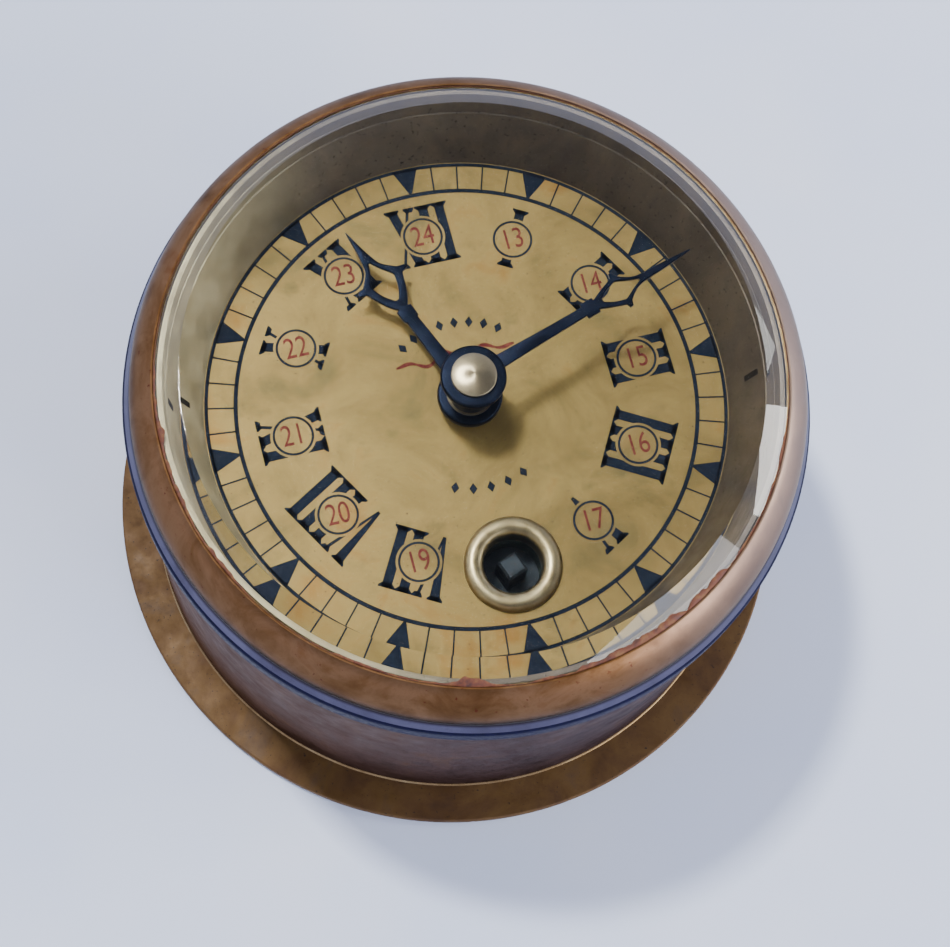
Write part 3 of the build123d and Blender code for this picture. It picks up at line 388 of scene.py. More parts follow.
# The winding tube is painted near black as shade inside the winding hole.
TUBE_PAINTED_SHADE = ink("winding_tube_painted_shade", (0.012, 0.018, 0.014), (0.035, 0.050, 0.038), (0.3, 0.5))
SLOT_PAINTED_SHADE = ink("slot_shadow", (0.006, 0.005, 0.004), (0.015, 0.012, 0.010))
RUBY = ink("ruby", (0.45, 0.01, 0.05), (0.60, 0.04, 0.10), (0.08, 0.15))
GLASS = glass_material()
CEMENT = cement_material()

SLOT_MATERIALS = {
    "case_brass": DRUM_BRASS,
    "flange_brass": FLANGE_BRASS,
    "cover_brass": COVER_BRASS,
    "bezel_brass": BEAD_BRASS,
    "inner_brass": INNER_BRASS,
    "glass": GLASS,
    "cement": CEMENT,
    "dial_brass": DIAL_BRASS,
    "eyelet_brass": EYELET_BRASS,
    "blued_steel": BLUED_STEEL,
    "nut_steel": NUT_STEEL,
    "steel": STEEL,
    "spring_steel": SPRING_STEEL,
    "screw_steel": DARK_STEEL,
    "ruby": RUBY,
    "movement_brass": MOVEMENT_BRASS,
}


# ---------------------------------------------------------------- mesh helpers
def as_object(name, mesh, materials, sharp_deg=35):
    piece = bpy.data.objects.new(name, mesh)
    bpy.context.scene.collection.objects.link(piece)
    for material in materials:
        mesh.materials.append(material)
    for face in mesh.polygons:
        face.use_smooth = True
    mesh.set_sharp_from_angle(angle=math.radians(sharp_deg))
    return piece


def from_bmesh(name, built, materials, sharp_deg=35):
    bmesh.ops.remove_doubles(built, verts=built.verts, dist=1e-7)
    bmesh.ops.recalc_face_normals(built, faces=built.faces)
    mesh = bpy.data.meshes.new(name)
    built.to_mesh(mesh)
    built.free()
    return as_object(name, mesh, materials, sharp_deg)


def rounded(points, radii, steps=5):
    """The closed outline with each corner rounded by its radius."""
    result = []
    count = len(points)
    for index, (point, radius) in enumerate(zip(points, radii)):
        here = Vector(point)
        back = (Vector(points[index - 1]) - here).normalized()
        ahead = (Vector(points[(index + 1) % count]) - here).normalized()
        half = back.angle(ahead) / 2
        if radius <= 0 or half > math.radians(88):
            result.append(tuple(here))
            continue
        reach = radius / math.tan(half)
        start, end = here + back * reach, here + ahead * reach
        for step in range(steps + 1):
            t = step / steps
            result.append(tuple(start * (1 - t) ** 2 + here * 2 * t * (1 - t) + end * t**2))
    return result


def join_rings(built, rows):
    """Faces between each row of corners and the next, all the way round."""
    count = len(rows[0])
    for step, here in enumerate(rows):
        ahead = rows[(step + 1) % len(rows)]
        for index in range(count):
            after = (index + 1) % count
            built.faces.new((here[index], ahead[index], ahead[after], here[after]))


def lathe(name, profile, materials, centre=(0, 0), slot_of=None, wobble=None, steps=ROUND_STEPS):
    """A ring turned from a closed outline of (radius, height) points in millimetres."""
    built = bmesh.new()
    rows = []
    for step in range(steps):
        turn = 2 * math.pi * step / steps
        row = []
        for radius, height in profile:
            extra = wobble(turn, radius, height) if wobble else 0
            reach = (radius + extra) * MM
            x = centre[0] * MM + reach * math.sin(turn)
            y = centre[1] * MM + reach * math.cos(turn)
            row.append(built.verts.new((x, y, height * MM)))
        rows.append(row)
    count = len(profile)
    for step in range(steps):
        here, ahead = rows[step], rows[(step + 1) % steps]
        for index in range(count):
            after = (index + 1) % count
            corners = [here[index], ahead[index], ahead[after], here[after]]
            if profile[index][0] == 0 and profile[after][0] == 0:
                continue
            if profile[index][0] == 0:
                corners = [here[index], ahead[after], here[after]]
            elif profile[after][0] == 0:
                corners = [here[index], ahead[index], here[after]]
            face = built.faces.new(corners)
            if slot_of:
                height = (profile[index][1] + profile[after][1]) / 2
                radius = (profile[index][0] + profile[after][0]) / 2
                face.material_index = slot_of(radius, height)
    return from_bmesh(name, built, materials)


def circle(radius, centre=(0, 0), steps=128):
    turns = [2 * math.pi * step / steps for step in range(steps)]
    return [(centre[0] + radius * math.cos(turn), centre[1] + radius * math.sin(turn)) for turn in turns]


def cut_plate(name, loops, low, high, material, edge=0.0):
    """A flat piece of the outlines, holes included, with softened edges. Millimetres."""
    outline = bpy.data.curves.new(name + "_outline", "CURVE")
    outline.dimensions = "2D"
    outline.fill_mode = "BOTH"
    outline.extrude = ((high - low) / 2 - edge) * MM
    outline.bevel_depth = edge * MM
    outline.bevel_resolution = 2
    outline.offset = -edge * MM
    for loop in loops:
        spline = outline.splines.new("POLY")
        spline.points.add(len(loop) - 1)
        for point, (x, y) in zip(spline.points, loop):
            point.co = (x * MM, y * MM, 0, 1)
        spline.use_cyclic_u = True
    holder = bpy.data.objects.new(name + "_outline", outline)
    bpy.context.scene.collection.objects.link(holder)
    bpy.context.view_layer.update()
    shape = holder.evaluated_get(bpy.context.evaluated_depsgraph_get())
    mesh = bpy.data.meshes.new_from_object(shape)
    mesh.transform(Matrix.Translation((0, 0, (low + high) / 2 * MM)))
    bpy.data.objects.remove(holder)
    bpy.data.curves.remove(outline)
    mesh.materials.clear()
    built = bmesh.new()
    built.from_mesh(mesh)
    bpy.data.meshes.remove(mesh)
    return from_bmesh(name, built, [material])


def polar(radius, azimuth):
    """The point at a clockwise azimuth in degrees from XII."""
    turn = math.radians(azimuth)
    return Vector((radius * math.sin(turn), radius * math.cos(turn)))


def turned_to(points, azimuth, radius=0.0):
    """Local points, with y outward, moved to a place on the dial."""
    turn = math.radians(azimuth)
    across = Vector((math.cos(turn), -math.sin(turn)))
    outward = Vector((math.sin(turn), math.cos(turn)))
    return [tuple(across * x + outward * (y + radius)) for x, y in points]


def add_prism(built, points, low, high):
    """A closed prism on a flat outline, added to a mesh being built."""
    under = [built.verts.new((x * MM, y * MM, low * MM)) for x, y in points]
    above = [built.verts.new((x * MM, y * MM, high * MM)) for x, y in points]
    built.faces.new(under)
    built.faces.new(above)
    for index in range(len(points)):
        after = (index + 1) % len(points)
        built.faces.new((under[index], under[after], above[after], above[index]))


def add_band(built, inner, outer, centre, low, high, steps=ROUND_STEPS):
    """A flat ring, added to a mesh being built."""
    rows = []
    for step in range(steps):
        turn = 2 * math.pi * step / steps
        spoke = Vector((math.cos(turn), math.sin(turn)))
        row = []
        for radius, height in ((inner, low), (outer, low), (outer, high), (inner, high)):
            x, y = Vector(centre) + spoke * radius
            row.append(built.verts.new((x * MM, y * MM, height * MM)))
        rows.append(row)
    join_rings(built, rows)


def place(piece, body, slot, *nodes):
    """Puts a piece on its body, in place of the CAD nodes that it shows in detail. The slot is not used."""
    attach(piece, body)
    if nodes:
        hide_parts(*nodes)
    return piece


# ---------------------------------------------------------------- camera
CAMERA_AT = Vector((-39.5, -82.04, 302.27)) * MM
CAMERA_FORWARD = Vector((0.1406, 0.26812, -0.95307)).normalized()
CAMERA_UP = Vector((0.22392, 0.92908, 0.29441)).normalized()
CAMERA_LENS_MM = 76.02
SENSOR_MM = 36.0


def make_camera():
    data = bpy.data.cameras.new("photo_camera")
    data.lens = CAMERA_LENS_MM
    data.sensor_width = SENSOR_MM
    data.sensor_fit = "HORIZONTAL"
    data.clip_start = 0.01
    camera = bpy.data.objects.new("photo_camera", data)
    bpy.context.scene.collection.objects.link(camera)
    side = CAMERA_FORWARD.cross(CAMERA_UP).normalized()
    up = side.cross(CAMERA_FORWARD)
    basis = Matrix((side, up, -CAMERA_FORWARD)).transposed().to_4x4()
    camera.matrix_world = Matrix.Translation(CAMERA_AT) @ basis
    bpy.context.scene.camera = camera


# ---------------------------------------------------------------- case
def make_drum():
    """The drum with its turned groove, and the collar that the bezel goes on."""
    groove_z = DRUM_TOP_Z - 4.4
    groove = 0.3
    profile = rounded([
        (DRUM_BORE_R, FLANGE_T), (DRUM_R, FLANGE_T), (DRUM_R, groove_z), (DRUM_R - groove, groove_z),
        (DRUM_R - groove, groove_z + groove), (DRUM_R, groove_z + groove), (DRUM_R, DRUM_TOP_Z),
        (COLLAR_R, DRUM_TOP_Z), (COLLAR_R, COLLAR_TOP_Z), (DRUM_BORE_R, COLLAR_TOP_Z),
    ], [0, 0, 0.08, 0.05, 0.05, 0.08, 0.3, 0, 0.2, 0.1])
    piece = lathe("case_drum", profile, [DRUM_BRASS])
    place(piece, "case", "case_brass", "case_body")


def make_flange():
    bore = 41.0
    profile = rounded([
        (bore, 0), (FLANGE_R, 0), (FLANGE_R, FLANGE_T), (bore, FLANGE_T),
    ], [0.1, 0.35, 0.4, 0])
    piece = lathe("flange_disc", profile, [FLANGE_BRASS])
    place(piece, "case", "flange_brass", "mounting_flange")


def make_foot_solder():
    """The thin uneven line of solder where the drum meets the flange."""
    def ragged(turn, radius, height):
        return 0.05 * noise.noise((9 * math.sin(turn), 9 * math.cos(turn), 3))

    profile = [
        (DRUM_R - 0.02, FLANGE_T - 0.02), (DRUM_R + 0.32, FLANGE_T - 0.02),
        (DRUM_R + 0.12, FLANGE_T + 0.12), (DRUM_R - 0.02, FLANGE_T + 0.34),
    ]
    seam = lathe("drum_foot_solder", profile, [SOLDER], wobble=ragged)
    place(seam, "case", "flange_brass")


def arc_through(start, middle, end, steps=24):
    """Points of the circular arc through three (radius, height) points."""
    a, b, c = Vector(start), Vector(middle), Vector(end)
    twice = 2 * (a.x * (b.y - c.y) + b.x * (c.y - a.y) + c.x * (a.y - b.y))
    along = a.length_squared * (b.y - c.y) + b.length_squared * (c.y - a.y) + c.length_squared * (a.y - b.y)
    across = a.length_squared * (c.x - b.x) + b.length_squared * (a.x - c.x) + c.length_squared * (b.x - a.x)
    centre = Vector((along, across)) / twice
    first = math.atan2(a.y - centre.y, a.x - centre.x)
    last = math.atan2(c.y - centre.y, c.x - centre.x)
    radius = (a - centre).length
    turns = [first + (last - first) * step / steps for step in range(steps + 1)]
    return [(centre.x + radius * math.cos(turn), centre.y + radius * math.sin(turn)) for turn in turns]


def make_bezel():
    """The bead round the glass, the skirt that flares out below it, and the rim, each in its own material;
    the skirt carries a painted reflection and painted shade, and the rim is painted shade.
    """
    bead_metal, skirt_sheen_slot, rim_shade_slot = range(3)
    shoulder = (44.95, BEZEL_TOP_Z - 6.85)
    rim_z = BEZEL_LOW_Z + 3.2
    bead = arc_through((LIP_R + 0.3, BEZEL_TOP_Z), (44.25, BEZEL_TOP_Z - 2.95), shoulder)
    profile = [(LIP_R, BEZEL_TOP_Z - 0.15), (LIP_R + 0.1, BEZEL_TOP_Z - 0.02)] + bead
    profile += [
        (45.08, shoulder[1] - 0.22), (45.4, shoulder[1] - 0.65), (45.8, rim_z + 0.42), (46.02, rim_z + 0.12),
        (BEZEL_R, rim_z - 0.1), (BEZEL_R, BEZEL_LOW_Z + 0.12), (BEZEL_R - 0.05, BEZEL_LOW_Z + 0.03),
        (BEZEL_R - 0.15, BEZEL_LOW_Z), (COLLAR_R + 0.1, BEZEL_LOW_Z), (COLLAR_R + 0.1, COLLAR_TOP_Z + 0.4),
        (GLASS_BORE_R, COLLAR_TOP_Z + 0.4), (GLASS_BORE_R, GLASS_LOW_Z + 0.25), (LIP_R, BEZEL_TOP_Z - 0.16),
    ]

    def slot_of(radius, height):
        if radius < shoulder[0] - 0.05 or height > shoulder[1] + 0.1:
            return bead_metal
        return rim_shade_slot if height < rim_z + 0.3 else skirt_sheen_slot

    piece = lathe("bezel_bead", profile, [BEAD_BRASS, SKIRT_PAINTED_LIGHT, RIM_PAINTED_SHADE], slot_of=slot_of)
    place(piece, "bezel", "bezel_brass", "bezel")


def make_glass():
    profile = rounded([
        (0, GLASS_LOW_Z), (GLASS_R, GLASS_LOW_Z), (GLASS_R, GLASS_LOW_Z + GLASS_EDGE_T),
        (BEVEL_R, GLASS_TOP_Z), (0, GLASS_TOP_Z),
    ], [0, 0.05, 0.05, 0.12, 0], steps=2)
    piece = lathe("bevelled_glass", profile, [GLASS])
    piece.data.set_sharp_from_angle(angle=math.radians(12))
    place(piece, "bezel", "glass", "glass")


def make_retainer():
    """The narrow ring under the glass's edge."""
    profile = rounded([
        (RETAINER_BORE_R, RETAINER_LOW_Z), (GLASS_BORE_R - 0.05, RETAINER_LOW_Z),
        (GLASS_BORE_R - 0.05, GLASS_LOW_Z - 0.02), (RETAINER_BORE_R, GLASS_LOW_Z - 0.02),
    ], [0.15, 0.1, 0.05, 0.15])
    piece = lathe("retaining_ring", profile, [RETAINER_BRASS])
    place(piece, "bezel", "inner_brass", "glass_retaining_ring")


def make_cement():
    """A ragged bead of old cement round the glass, thickest from V to VI and on the IX side.

    Each lump has its azimuth, its spread in degrees and how far it swells inwards."""
    lumps = ((159, 20, 0.75), (196, 4, 0.7), (268, 14, 0.5), (120, 8, 0.25), (215, 10, 0.2), (245, 6, 0.3))

    def size_at(azimuth):
        size = 0.07
        for middle, spread, height in lumps:
            gap = (azimuth - middle + 180) % 360 - 180
            size += height * math.exp(-(gap / spread) ** 2)
        turn = math.radians(azimuth)
        wave = noise.noise((14 * math.sin(turn), 14 * math.cos(turn), 1))
        wave += 0.6 * noise.noise((47 * math.sin(turn), 47 * math.cos(turn), 5))
        return max(0.05, size * (1 + 0.9 * wave))

    built = bmesh.new()
    rows = []
    steps = 720
    for step in range(steps):
        azimuth = step * 360 / steps
        size = size_at(azimuth)
        outer = LIP_R + 0.05
        inner = LIP_R - size
        rise = 0.22 * size
        section = [
            (outer, -0.1), (outer + 0.12 * size, 0.08), (outer - 0.4 * size, rise + 0.05),
            (inner + 0.2 * size, rise), (inner, 0.0),
        ]
        row = []
        for radius, lift in section:
            height = GLASS_LOW_Z + GLASS_EDGE_T + BEVEL_SLOPE * (GLASS_R - min(radius, LIP_R)) + lift
            x, y = polar(radius, azimuth)
            row.append(built.verts.new((x * MM, y * MM, height * MM)))
        rows.append(row)
    join_rings(built, rows)
    piece = from_bmesh("cement_bead", built, [CEMENT], 80)
    place(piece, "bezel", "cement", "glass_cement")


def make_surround():
    """The sloped wall round the dial, in two steps, with a spanner slot at each side drawn as a dark box
    whose darkness is painted shade.
    """
    foot = DIAL_Z + 1.0
    step_z = SURROUND_TOP_Z - 2.9
    slope = (SURROUND_TOP_R - SURROUND_FOOT_R) / (SURROUND_TOP_Z - DIAL_Z)
    step_r = SURROUND_FOOT_R + slope * (step_z - DIAL_Z)
    outer = SURROUND_TOP_R + 0.8
    profile = rounded([
        (SURROUND_FOOT_R, DIAL_Z), (DRUM_BORE_R - 0.1, DIAL_Z), (DRUM_BORE_R - 0.1, foot),
        (SURROUND_FOOT_R + 1.6, foot), (outer, SURROUND_TOP_Z - 2.8), (outer, SURROUND_TOP_Z),
        (SURROUND_TOP_R, SURROUND_TOP_Z), (step_r + 0.12, step_z + 0.12), (step_r + 0.3, step_z),
        (step_r, step_z - 0.16),
    ], [0.05, 0.1, 0.1, 0.1, 0.1, 0.1, 0.12, 0, 0, 0.03])
    piece = lathe("dial_surround_wall", profile, [WALL_BRASS])
    place(piece, "case", "inner_brass", "dial_surround")
    built = bmesh.new()
    low, high = step_z - 4.5, step_z - 1.5
    for azimuth in (-79.5, 100.5):
        spots = []
        for x, z in ((-0.38, low), (0.38, low), (0.38, high), (-0.38, high)):
            radius = SURROUND_FOOT_R + slope * (z - DIAL_Z) - 0.02
            across, outward = turned_to([(x, radius)], azimuth)[0]
            spots.append(built.verts.new((across * MM, outward * MM, z * MM)))
            across, outward = turned_to([(x, radius + 0.5)], azimuth)[0]
            spots.append(built.verts.new((across * MM, outward * MM, z * MM)))
        near, far = spots[0::2], spots[1::2]
        built.faces.new(near)
        built.faces.new(far)
        for index in range(4):
            after = (index + 1) % 4
            built.faces.new((near[index], near[after], far[after], far[index]))
    slots = from_bmesh("spanner_slots", built, [SLOT_PAINTED_SHADE])
    place(slots, "case", "inner_brass")


def make_back_cover():
    high = high_z("back_cover")
    low = low_z("back_cover")
    profile = rounded([
        (0, low), (26.0, low), (27.5, low + 0.12), (31.5, low + 0.12), (33.0, low), (40.7, low),
        (40.7, FLANGE_T), (30.0, FLANGE_T), (30.0, high), (28.0, high), (28.0, FLANGE_T), (0, FLANGE_T),
    ], [0, 0.4, 0.4, 0.4, 0.4, 0.2, 0, 0, 0.1, 0.1, 0, 0])
    piece = lathe("back_cover_dish", profile, [COVER_BRASS])
    place(piece, "case", "cover_brass", "back_cover")


# ---------------------------------------------------------------- dial
TRACK_IN_R = 30.95
TRACK_OUT_R = 34.83
NUMERAL_IN_R = 19.65
NUMERAL_H = 8.7
HOUR_CIRCLE_R = 23.8
HOUR_DISC_R = 3.05
HOUR_RING_IN_R = 2.42
HOUR_RING_OUT_R = 2.74
DIGIT_SIZE = 4.2
DIGIT_NARROWING = 0.78
# The hours are printed a little nearer to XII than the minute track is.
HOURS_CENTRE = Vector((0.05, 0.9))
PRINT_T = 0.03


def make_dial_plate():
    eyelet = (WINDING_AT.x, WINDING_AT.y)
    rim_r, hands_hole_r, winding_hole_r = 41.5, 3.1, 4.6
    loops = [circle(rim_r), circle(hands_hole_r), circle(winding_hole_r, eyelet)]
    piece = cut_plate("dial_face", loops, DIAL_LOW_Z, DIAL_Z, DIAL_BRASS)
    place(piece, "case", "dial_brass", "dial_plate")


def make_track():
    built = bmesh.new()
    low, high = DIAL_Z, DIAL_Z + PRINT_T
    add_band(built, TRACK_IN_R - 0.28, TRACK_IN_R + 0.28, (0, 0), low, high)
    add_band(built, TRACK_OUT_R - 0.24, TRACK_OUT_R + 0.24, (0, 0), low, high)
    depth = TRACK_OUT_R - TRACK_IN_R
    for minute in range(60):
        if minute % 5:
            outline = [(-0.11, 0), (0.11, 0), (0.11, depth), (-0.11, depth)]
        else:
            outline = [(-0.12, 0.1), (0.12, 0.1), (1.75, depth), (-1.75, depth)]
        add_prism(built, turned_to(outline, minute * 6, TRACK_IN_R), low, high)
    place(from_bmesh("minute_track", built, [BLACK_INK]), "case", "dial_brass")


SERIF_H = 0.34
BAR_W = 1.32
THIN_W = 0.42


def slab(middle, height, at_top, width):
    """A serif with sloped brackets."""
    edge = height if at_top else 0
    inward = -1 if at_top else 1
    shoulder = edge + inward * SERIF_H * 0.7
    root = edge + inward * SERIF_H * 2.0
    return [
        (middle - width / 2, edge), (middle + width / 2, edge), (middle + width / 2, shoulder),
        (middle + width * 0.30, root), (middle - width * 0.30, root), (middle - width / 2, shoulder),
    ]


def slanted(foot, head, width, height):
    half = width / 2
    return [(foot - half, 0), (foot + half, 0), (head + half, height), (head - half, height)]


def glyph(letter, left, height):
    """The outlines of one Roman letter and its width."""
    if letter == "I":
        middle = left + 1.13
        bar = slanted(middle, middle, BAR_W, height)
        return [bar, slab(middle, height, True, 2.26), slab(middle, height, False, 2.26)], 2.26
    if letter == "V":
        wedge = [(left + 1.72, 0), (left + 2.08, 0), (left + 1.72, height), (left + 0.3, height)]
        thin = [(left + 1.85, 0), (left + 2.15, 0), (left + 3.6, height), (left + 3.15, height)]
        return [wedge, thin, slab(left + 1.0, height, True, 2.1), slab(left + 3.4, height, True, 1.4)], 4.1
    return [
        slanted(left + 3.15, left + 0.95, BAR_W, height), slanted(left + 0.85, left + 3.3, THIN_W, height),
        slab(left + 0.95, height, True, 2.1), slab(left + 3.35, height, True, 1.5),
        slab(left + 3.15, height, False, 2.1), slab(left + 0.85, height, False, 1.5),
    ], 4.2


def numeral_outlines(text):
    outlines, left = [], 0.0
    for letter in text:
        shapes, width = glyph(letter, left, NUMERAL_H)
        outlines += shapes
        left += width
    return [[(x - left / 2, y) for x, y in outline] for outline in outlines]


# The VI lies under the eyelet: only the ends of its outer serifs reach past the metal.
VI_SERIF_TOP = NUMERAL_H - 0.15
VI_SERIF_ENDS = ((-4.8, -2.9), (2.5, 3.9))
NUMERALS = ("I", "II", "III", "IIII", "V", "VI", "VII", "VIII", "IX", "X", "XI", "XII")


def make_numerals():
    built = bmesh.new()
    for hour, text in enumerate(NUMERALS, start=1):
        outlines = numeral_outlines(text)
        if hour == 6:
            foot = VI_SERIF_TOP - SERIF_H
            outlines = [
                [(left, foot), (right, foot), (right, VI_SERIF_TOP), (left, VI_SERIF_TOP)]
                for left, right in VI_SERIF_ENDS
            ]
        for outline in outlines:
            placed = [HOURS_CENTRE + Vector(point) for point in turned_to(outline, hour * 30, NUMERAL_IN_R)]
            add_prism(built, placed, DIAL_Z, DIAL_Z + PRINT_T)
    place(from_bmesh("roman_numerals", built, [BLACK_INK]), "case", "dial_brass")


def make_hour_circles():
    fill, outline = bmesh.new(), bmesh.new()
    for hour in range(1, 13):
        if hour == 6:
            continue
        centre = HOURS_CENTRE + polar(HOUR_CIRCLE_R, hour * 30)
        add_prism(fill, circle(HOUR_DISC_R, centre, 64), DIAL_Z, DIAL_Z + PRINT_T * 1.5)
        add_band(outline, HOUR_RING_IN_R, HOUR_RING_OUT_R, centre, DIAL_Z, DIAL_Z + PRINT_T * 2, 64)
    place(from_bmesh("hour_discs", fill, [DIAL_BRASS]), "case", "dial_brass")
    place(from_bmesh("hour_rings", outline, [BLACK_INK]), "case", "dial_brass")


def text_mesh(text, size, height):
    curve = bpy.data.curves.new("digits", "FONT")
    curve.body = text
    curve.size = size * MM
    curve.align_x = "CENTER"
    curve.align_y = "CENTER"
    curve.extrude = height / 2 * MM
    holder = bpy.data.objects.new("digits", curve)
    bpy.context.scene.collection.objects.link(holder)
    bpy.context.view_layer.update()
    mesh = bpy.data.meshes.new_from_object(holder.evaluated_get(bpy.context.evaluated_depsgraph_get()))
    bpy.data.objects.remove(holder)
    bpy.data.curves.remove(curve)
    return mesh


def make_digits():
    built = bmesh.new()
    for hour in range(1, 13):
        if hour == 6:
            continue
        mesh = text_mesh(str(hour + 12), DIGIT_SIZE, PRINT_T)
        centre = HOURS_CENTRE + polar(HOUR_CIRCLE_R, hour * 30)
        shift = Matrix.Translation((centre.x * MM, centre.y * MM, (DIAL_Z + PRINT_T * 1.8) * MM))
        mesh.transform(shift @ Matrix.Diagonal((DIGIT_NARROWING, 1.0, 1.0, 1.0)))
        built.from_mesh(mesh)
        bpy.data.meshes.remove(mesh)
    place(from_bmesh("hour_digits", built, [RED_INK]), "case", "dial_brass")


def make_ornaments():
    """Plain printed ornaments: two rows of lozenges and a flourish in red."""
    black, red = bmesh.new(), bmesh.new()
    low, high = DIAL_Z, DIAL_Z + PRINT_T
    lozenge = [(-0.55, 0), (0, -0.8), (0.55, 0), (0, 0.8)]
    for index in range(8):
        add_prism(black, turned_to(lozenge, (index - 3.5) * 10.0, 11.6), low, high)
    for index in range(5):
        add_prism(black, turned_to(lozenge, 180 + (index - 2) * 11.5, 12.0), low, high)
    steps = 90
    line = []
    for step in range(steps + 1):
        share = step / steps
        x = -8.2 + 16.4 * share
        y = 6.9 + 0.9 * math.sin(share * 6 * math.pi) * math.sin(share * math.pi)
        line.append(Vector((x, y)))
    for index in range(steps):
        along = (line[index + 1] - line[index]).normalized()
        side = Vector((-along.y, along.x)) * (0.14 + 0.13 * abs(math.sin(index * 0.21)))
        here, ahead = line[index], line[index + 1]
        add_prism(red, [here - side, ahead - side, ahead + side, here + side], low, high)
    place(from_bmesh("dial_lozenges", black, [BLACK_INK]), "case", "dial_brass")
    place(from_bmesh("dial_flourish", red, [RED_INK]), "case", "dial_brass")


def make_eyelet():
    """The rounded ring in the dial round the winding square, and the tube that leads down to it, painted near
    black as shade inside the hole.
    """
    outer, inner = 6.5, 3.9
    tube_foot_z = 38.6
    crown = []
    steps = 14
    for step in range(steps + 1):
        turn = math.pi * step / steps
        middle, half = (outer + inner) / 2, (outer - inner) / 2
        crown.append((middle + half * math.cos(turn), DIAL_Z + 0.04 + 1.25 * math.sin(turn) ** 0.8))
    neck = [(inner, DIAL_LOW_Z - 0.9), (inner + 0.5, DIAL_LOW_Z - 0.9), (inner + 0.5, DIAL_Z)]
    profile = [(outer, DIAL_Z)] + crown + neck
    at = (WINDING_AT.x, WINDING_AT.y)
    piece = lathe("eyelet_ring", profile, [EYELET_BRASS], at, steps=128)
    place(piece, "case", "eyelet_brass", "winding_eyelet")
    tube = rounded([
        (inner + 0.05, tube_foot_z), (inner + 0.45, tube_foot_z),
        (inner + 0.45, DIAL_LOW_Z - 1.0), (inner + 0.05, DIAL_LOW_Z - 1.0),
    ], [0.1, 0.1, 0.1, 0.1])
    place(lathe("eyelet_tube", tube, [TUBE_PAINTED_SHADE], at, steps=96), "case", "eyelet_brass")


# ---------------------------------------------------------------- hands
def smooth_line(points, steps=8):
    """A line through the points, rounded between them."""
    result = []
    count = len(points)
    for index in range(count - 1):
        a = Vector(points[max(0, index - 1)])
        b, c = Vector(points[index]), Vector(points[index + 1])
        d = Vector(points[min(count - 1, index + 2)])
        for step in range(steps):
            t = step / steps
            spot = 2 * b + (c - a) * t
            spot += (2 * a - 5 * b + 4 * c - d) * t**2
            spot += (3 * b - a - 3 * c + d) * t**3
            result.append(tuple(spot * 0.5))
    result.append(tuple(points[-1]))
    return result


def hand_loops(length, head_share, side, corner, junction, opening, stem):
    """The outline of a hand along +Y, and the opening in its head."""
    head = head_share * length
    neck = length - head

    def at(share):
        return neck + share * head

    right = [(stem + 0.2, 3.6), (stem, neck * 0.55), (stem - 0.12, neck - 1.15)]
    right += [(1.12, neck - 1.1), (1.12, neck + 0.75), (0.72, neck + 0.8)]
    right += smooth_line([
        (0.72, neck + 0.8), (side * 0.52, at(corner * 0.45)),
        (side * 0.80, at(corner * 0.85)), (side * 0.86, at(corner * 0.93)),
    ])[1:]
    right += [(side * 1.12, at(corner * 0.97)), (side * 1.08, at(corner * 1.07))]
    right += smooth_line([
        (side * 0.80, at(corner * 1.12)), (side * 0.36, at(corner * 1.12 + (junction - corner) * 0.42)),
        (side * 0.22, at(junction)), (0.42, at(junction + (1 - junction) * 0.4)), (0.10, length - 0.4),
    ])
    left = [(-x, y) for x, y in reversed(right)]
    outer = right + [(0, length)] + left
    inside = smooth_line([
        (0.25, at(corner * 0.40)), (opening * 0.66, at(corner * 0.66)), (opening, at(corner * 0.98)),
    ])
    inside += smooth_line([
        (opening * 0.93, at(corner * 1.06)), (opening * 0.43, at(corner + (junction - corner) * 0.46)),
        (0.12, at(junction - 0.05)),
    ])
    inner = inside + [(-x, y) for x, y in reversed(inside)]
    return outer, inner


def make_hand(node, body, length, azimuth, shape, blade, boss, bore, collet_low=None):
    """A hand with its boss, and a collet below it where there is one.

    Blade and boss are heights, low and high."""
    name = node + "_blued"
    loops = [turned_to(loop, azimuth) for loop in hand_loops(length, *shape)]
    blade_piece = cut_plate(name + "_blade", loops, *blade, BLUED_STEEL, 0.1)
    boss_r, collet_r = 4.35, 2.95
    profile = rounded([
        (bore, boss[0]), (boss_r, boss[0]), (boss_r, boss[1]), (bore, boss[1]),
    ], [0, 0.3, 0.45, 0])
    boss_piece = lathe(name + "_boss", profile, [BLUED_STEEL], steps=96)
    place(blade_piece, body, "blued_steel", node)
    place(boss_piece, body, "blued_steel", node)
    if collet_low is not None:
        sleeve = rounded([
            (bore, collet_low), (collet_r, collet_low), (collet_r, boss[0]), (bore, boss[0]),
        ], [0, 0.15, 0, 0])
        place(lathe(name + "_collet", sleeve, [BLUED_STEEL], steps=96), body, "blued_steel", node)


# A hand's head is its share of the length, half width, the places of its corner and of its junction with the
# point as shares of the head, the opening's half width, and the stem's half width.
HOUR_AZIMUTH = -22.0
HOUR_LENGTH = 28.3
HOUR_HEAD = (0.50, 3.5, 0.39, 0.66, 1.85, 0.98)
MINUTE_AZIMUTH = 71.8
MINUTE_LENGTH = 34.8
MINUTE_HEAD = (0.466, 2.45, 0.29, 0.53, 1.45, 0.80)


def make_hands():
    hour_low = low_z("hour_hand")
    hour_high = high_z("hour_hand")
    minute_high = high_z("minute_hand")
    make_hand(
        "hour_hand", "hour", HOUR_LENGTH, HOUR_AZIMUTH, HOUR_HEAD,
        blade=(hour_low + 0.75, hour_low + 1.3), boss=(hour_low, hour_high), bore=2.5)
    make_hand(
        "minute_hand", "minute", MINUTE_LENGTH, MINUTE_AZIMUTH, MINUTE_HEAD,
        blade=(minute_high - 0.75, minute_high - 0.2), boss=(minute_high - 0.9, minute_high), bore=1.6,
        collet_low=low_z("minute_hand"))


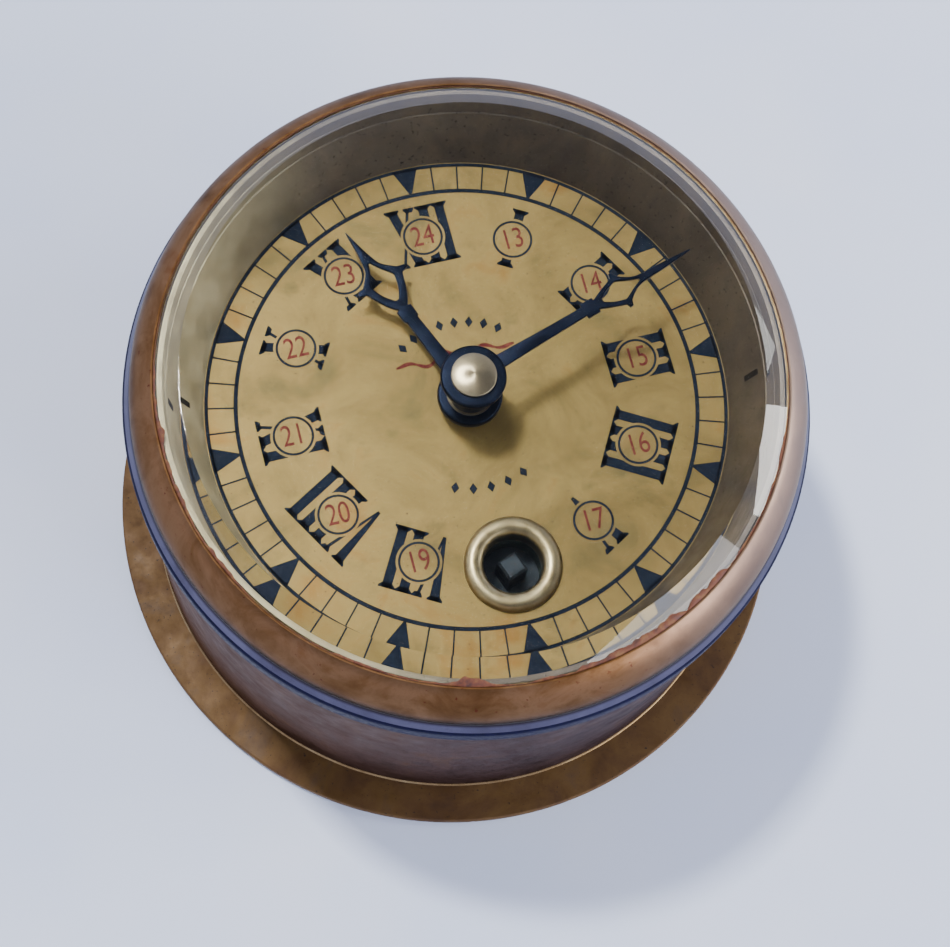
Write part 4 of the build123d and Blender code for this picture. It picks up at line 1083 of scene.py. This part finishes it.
def make_nut():
    low, apex = low_z("hand_nut"), high_z("hand_nut")
    radius, edge = 3.0, 0.5
    profile = rounded([(0, low), (radius, low), (radius, low + edge), (0, apex)], [0, 0.05, 0.12, 0])
    place(lathe("nut_cone", profile, [NUT_STEEL], steps=128), "minute", "nut_steel", "hand_nut")


# ---------------------------------------------------------------- carried-over CAD nodes
def finish_cad_nodes():
    """Each CAD node that stays visible takes the detailed material of its slot."""
    slot_of = {row["node"]: row["material_slot"] for row in frame["record"]["subparts"]}
    special = {"barrel_arbor": DULL_STEEL_PAINTED_SHADE, "ratchet_wheel": DULL_STEEL_PAINTED_SHADE, "front_plate": INNER_BRASS}
    for node, piece in frame["nodes"].items():
        material = special.get(node, SLOT_MATERIALS[slot_of[node]])
        for slot in piece.material_slots:
            slot.material = material


# ---------------------------------------------------------------- floor and light
def make_floor():
    built = bmesh.new()
    half = 2.5
    corners = ((-half, -half), (half, -half), (half, half), (-half, half))
    built.faces.new([built.verts.new((x, y, 0)) for x, y in corners])
    material, tree, shader, _ = new_material("pale_floor")
    cloud = add_noise(tree, 60.0, detail=3.0)
    colour = add_ramp(tree, cloud, [(0.3, (0.70, 0.79, 1.0)), (0.7, (0.79, 0.86, 1.0))])
    tree.links.new(colour, shader.inputs["Base Color"])
    shader.inputs["Roughness"].default_value = 0.9
    from_bmesh("floor", built, [material])


def area_light(name, at, target, size, power, colour, size_y=None):
    data = bpy.data.lights.new(name, "AREA")
    data.shape = "RECTANGLE"
    data.size = size
    data.size_y = size_y or size
    data.energy = power
    data.color = colour
    lamp = bpy.data.objects.new(name, data)
    bpy.context.scene.collection.objects.link(lamp)
    aim_line = Vector(target) - Vector(at)
    lamp.matrix_world = Matrix.Translation(at) @ aim_line.to_track_quat("-Z", "Y").to_matrix().to_4x4()
    return lamp


def make_world():
    """A room that is bright and cool near the horizon and dim overhead."""
    world = bpy.data.worlds.new("soft_room")
    world.use_nodes = True
    tree = world.node_tree
    sky = tree.nodes["Background"]
    place = tree.nodes.new("ShaderNodeTexCoord")
    split = tree.nodes.new("ShaderNodeSeparateXYZ")
    tree.links.new(place.outputs["Generated"], split.inputs[0])
    ramp = add_ramp(tree, split.outputs[2], [
        (0.10, (1.05, 1.12, 1.50)), (0.45, (0.64, 0.70, 0.98)), (0.72, (0.04, 0.045, 0.06)),
    ])
    tree.links.new(ramp, sky.inputs["Color"])
    sky.inputs["Strength"].default_value = 1.5
    bpy.context.scene.world = world


def make_lights():
    """A window high behind the XII, a soft fill, and a lamp that gleams on the glass's bevel near IIII."""
    middle = (0, 0, DIAL_Z * MM)
    area_light("window", (-0.25, 0.42, 1.12), middle, 0.10, 14.0, (0.99, 0.97, 0.95))
    area_light("front_fill", (0.75, -0.85, 0.55), middle, 0.8, 14.0, (0.94, 0.94, 1.0))
    azimuth = math.radians(121)
    slant = BEVEL_SLOPE
    facing = Vector((math.sin(azimuth) * slant, math.cos(azimuth) * slant, 1)).normalized()
    spot = Vector((40 * math.sin(azimuth), 40 * math.cos(azimuth), GLASS_TOP_Z - 0.8)) * MM
    seen = (CAMERA_AT - spot).normalized()
    mirrored = (2 * facing.dot(seen) * facing - seen).normalized()
    area_light("bevel_gleam", spot + mirrored * 0.9, spot, 0.32, 4.0, (1.0, 0.98, 0.95), 0.22)


make_camera()
finish_cad_nodes()
make_drum()
make_flange()
make_foot_solder()
make_bezel()
make_glass()
make_retainer()
make_cement()
make_surround()
make_back_cover()
make_dial_plate()
make_track()
make_numerals()
make_hour_circles()
make_digits()
make_ornaments()
make_eyelet()
make_hands()
make_nut()
make_floor()
make_world()
make_lights()
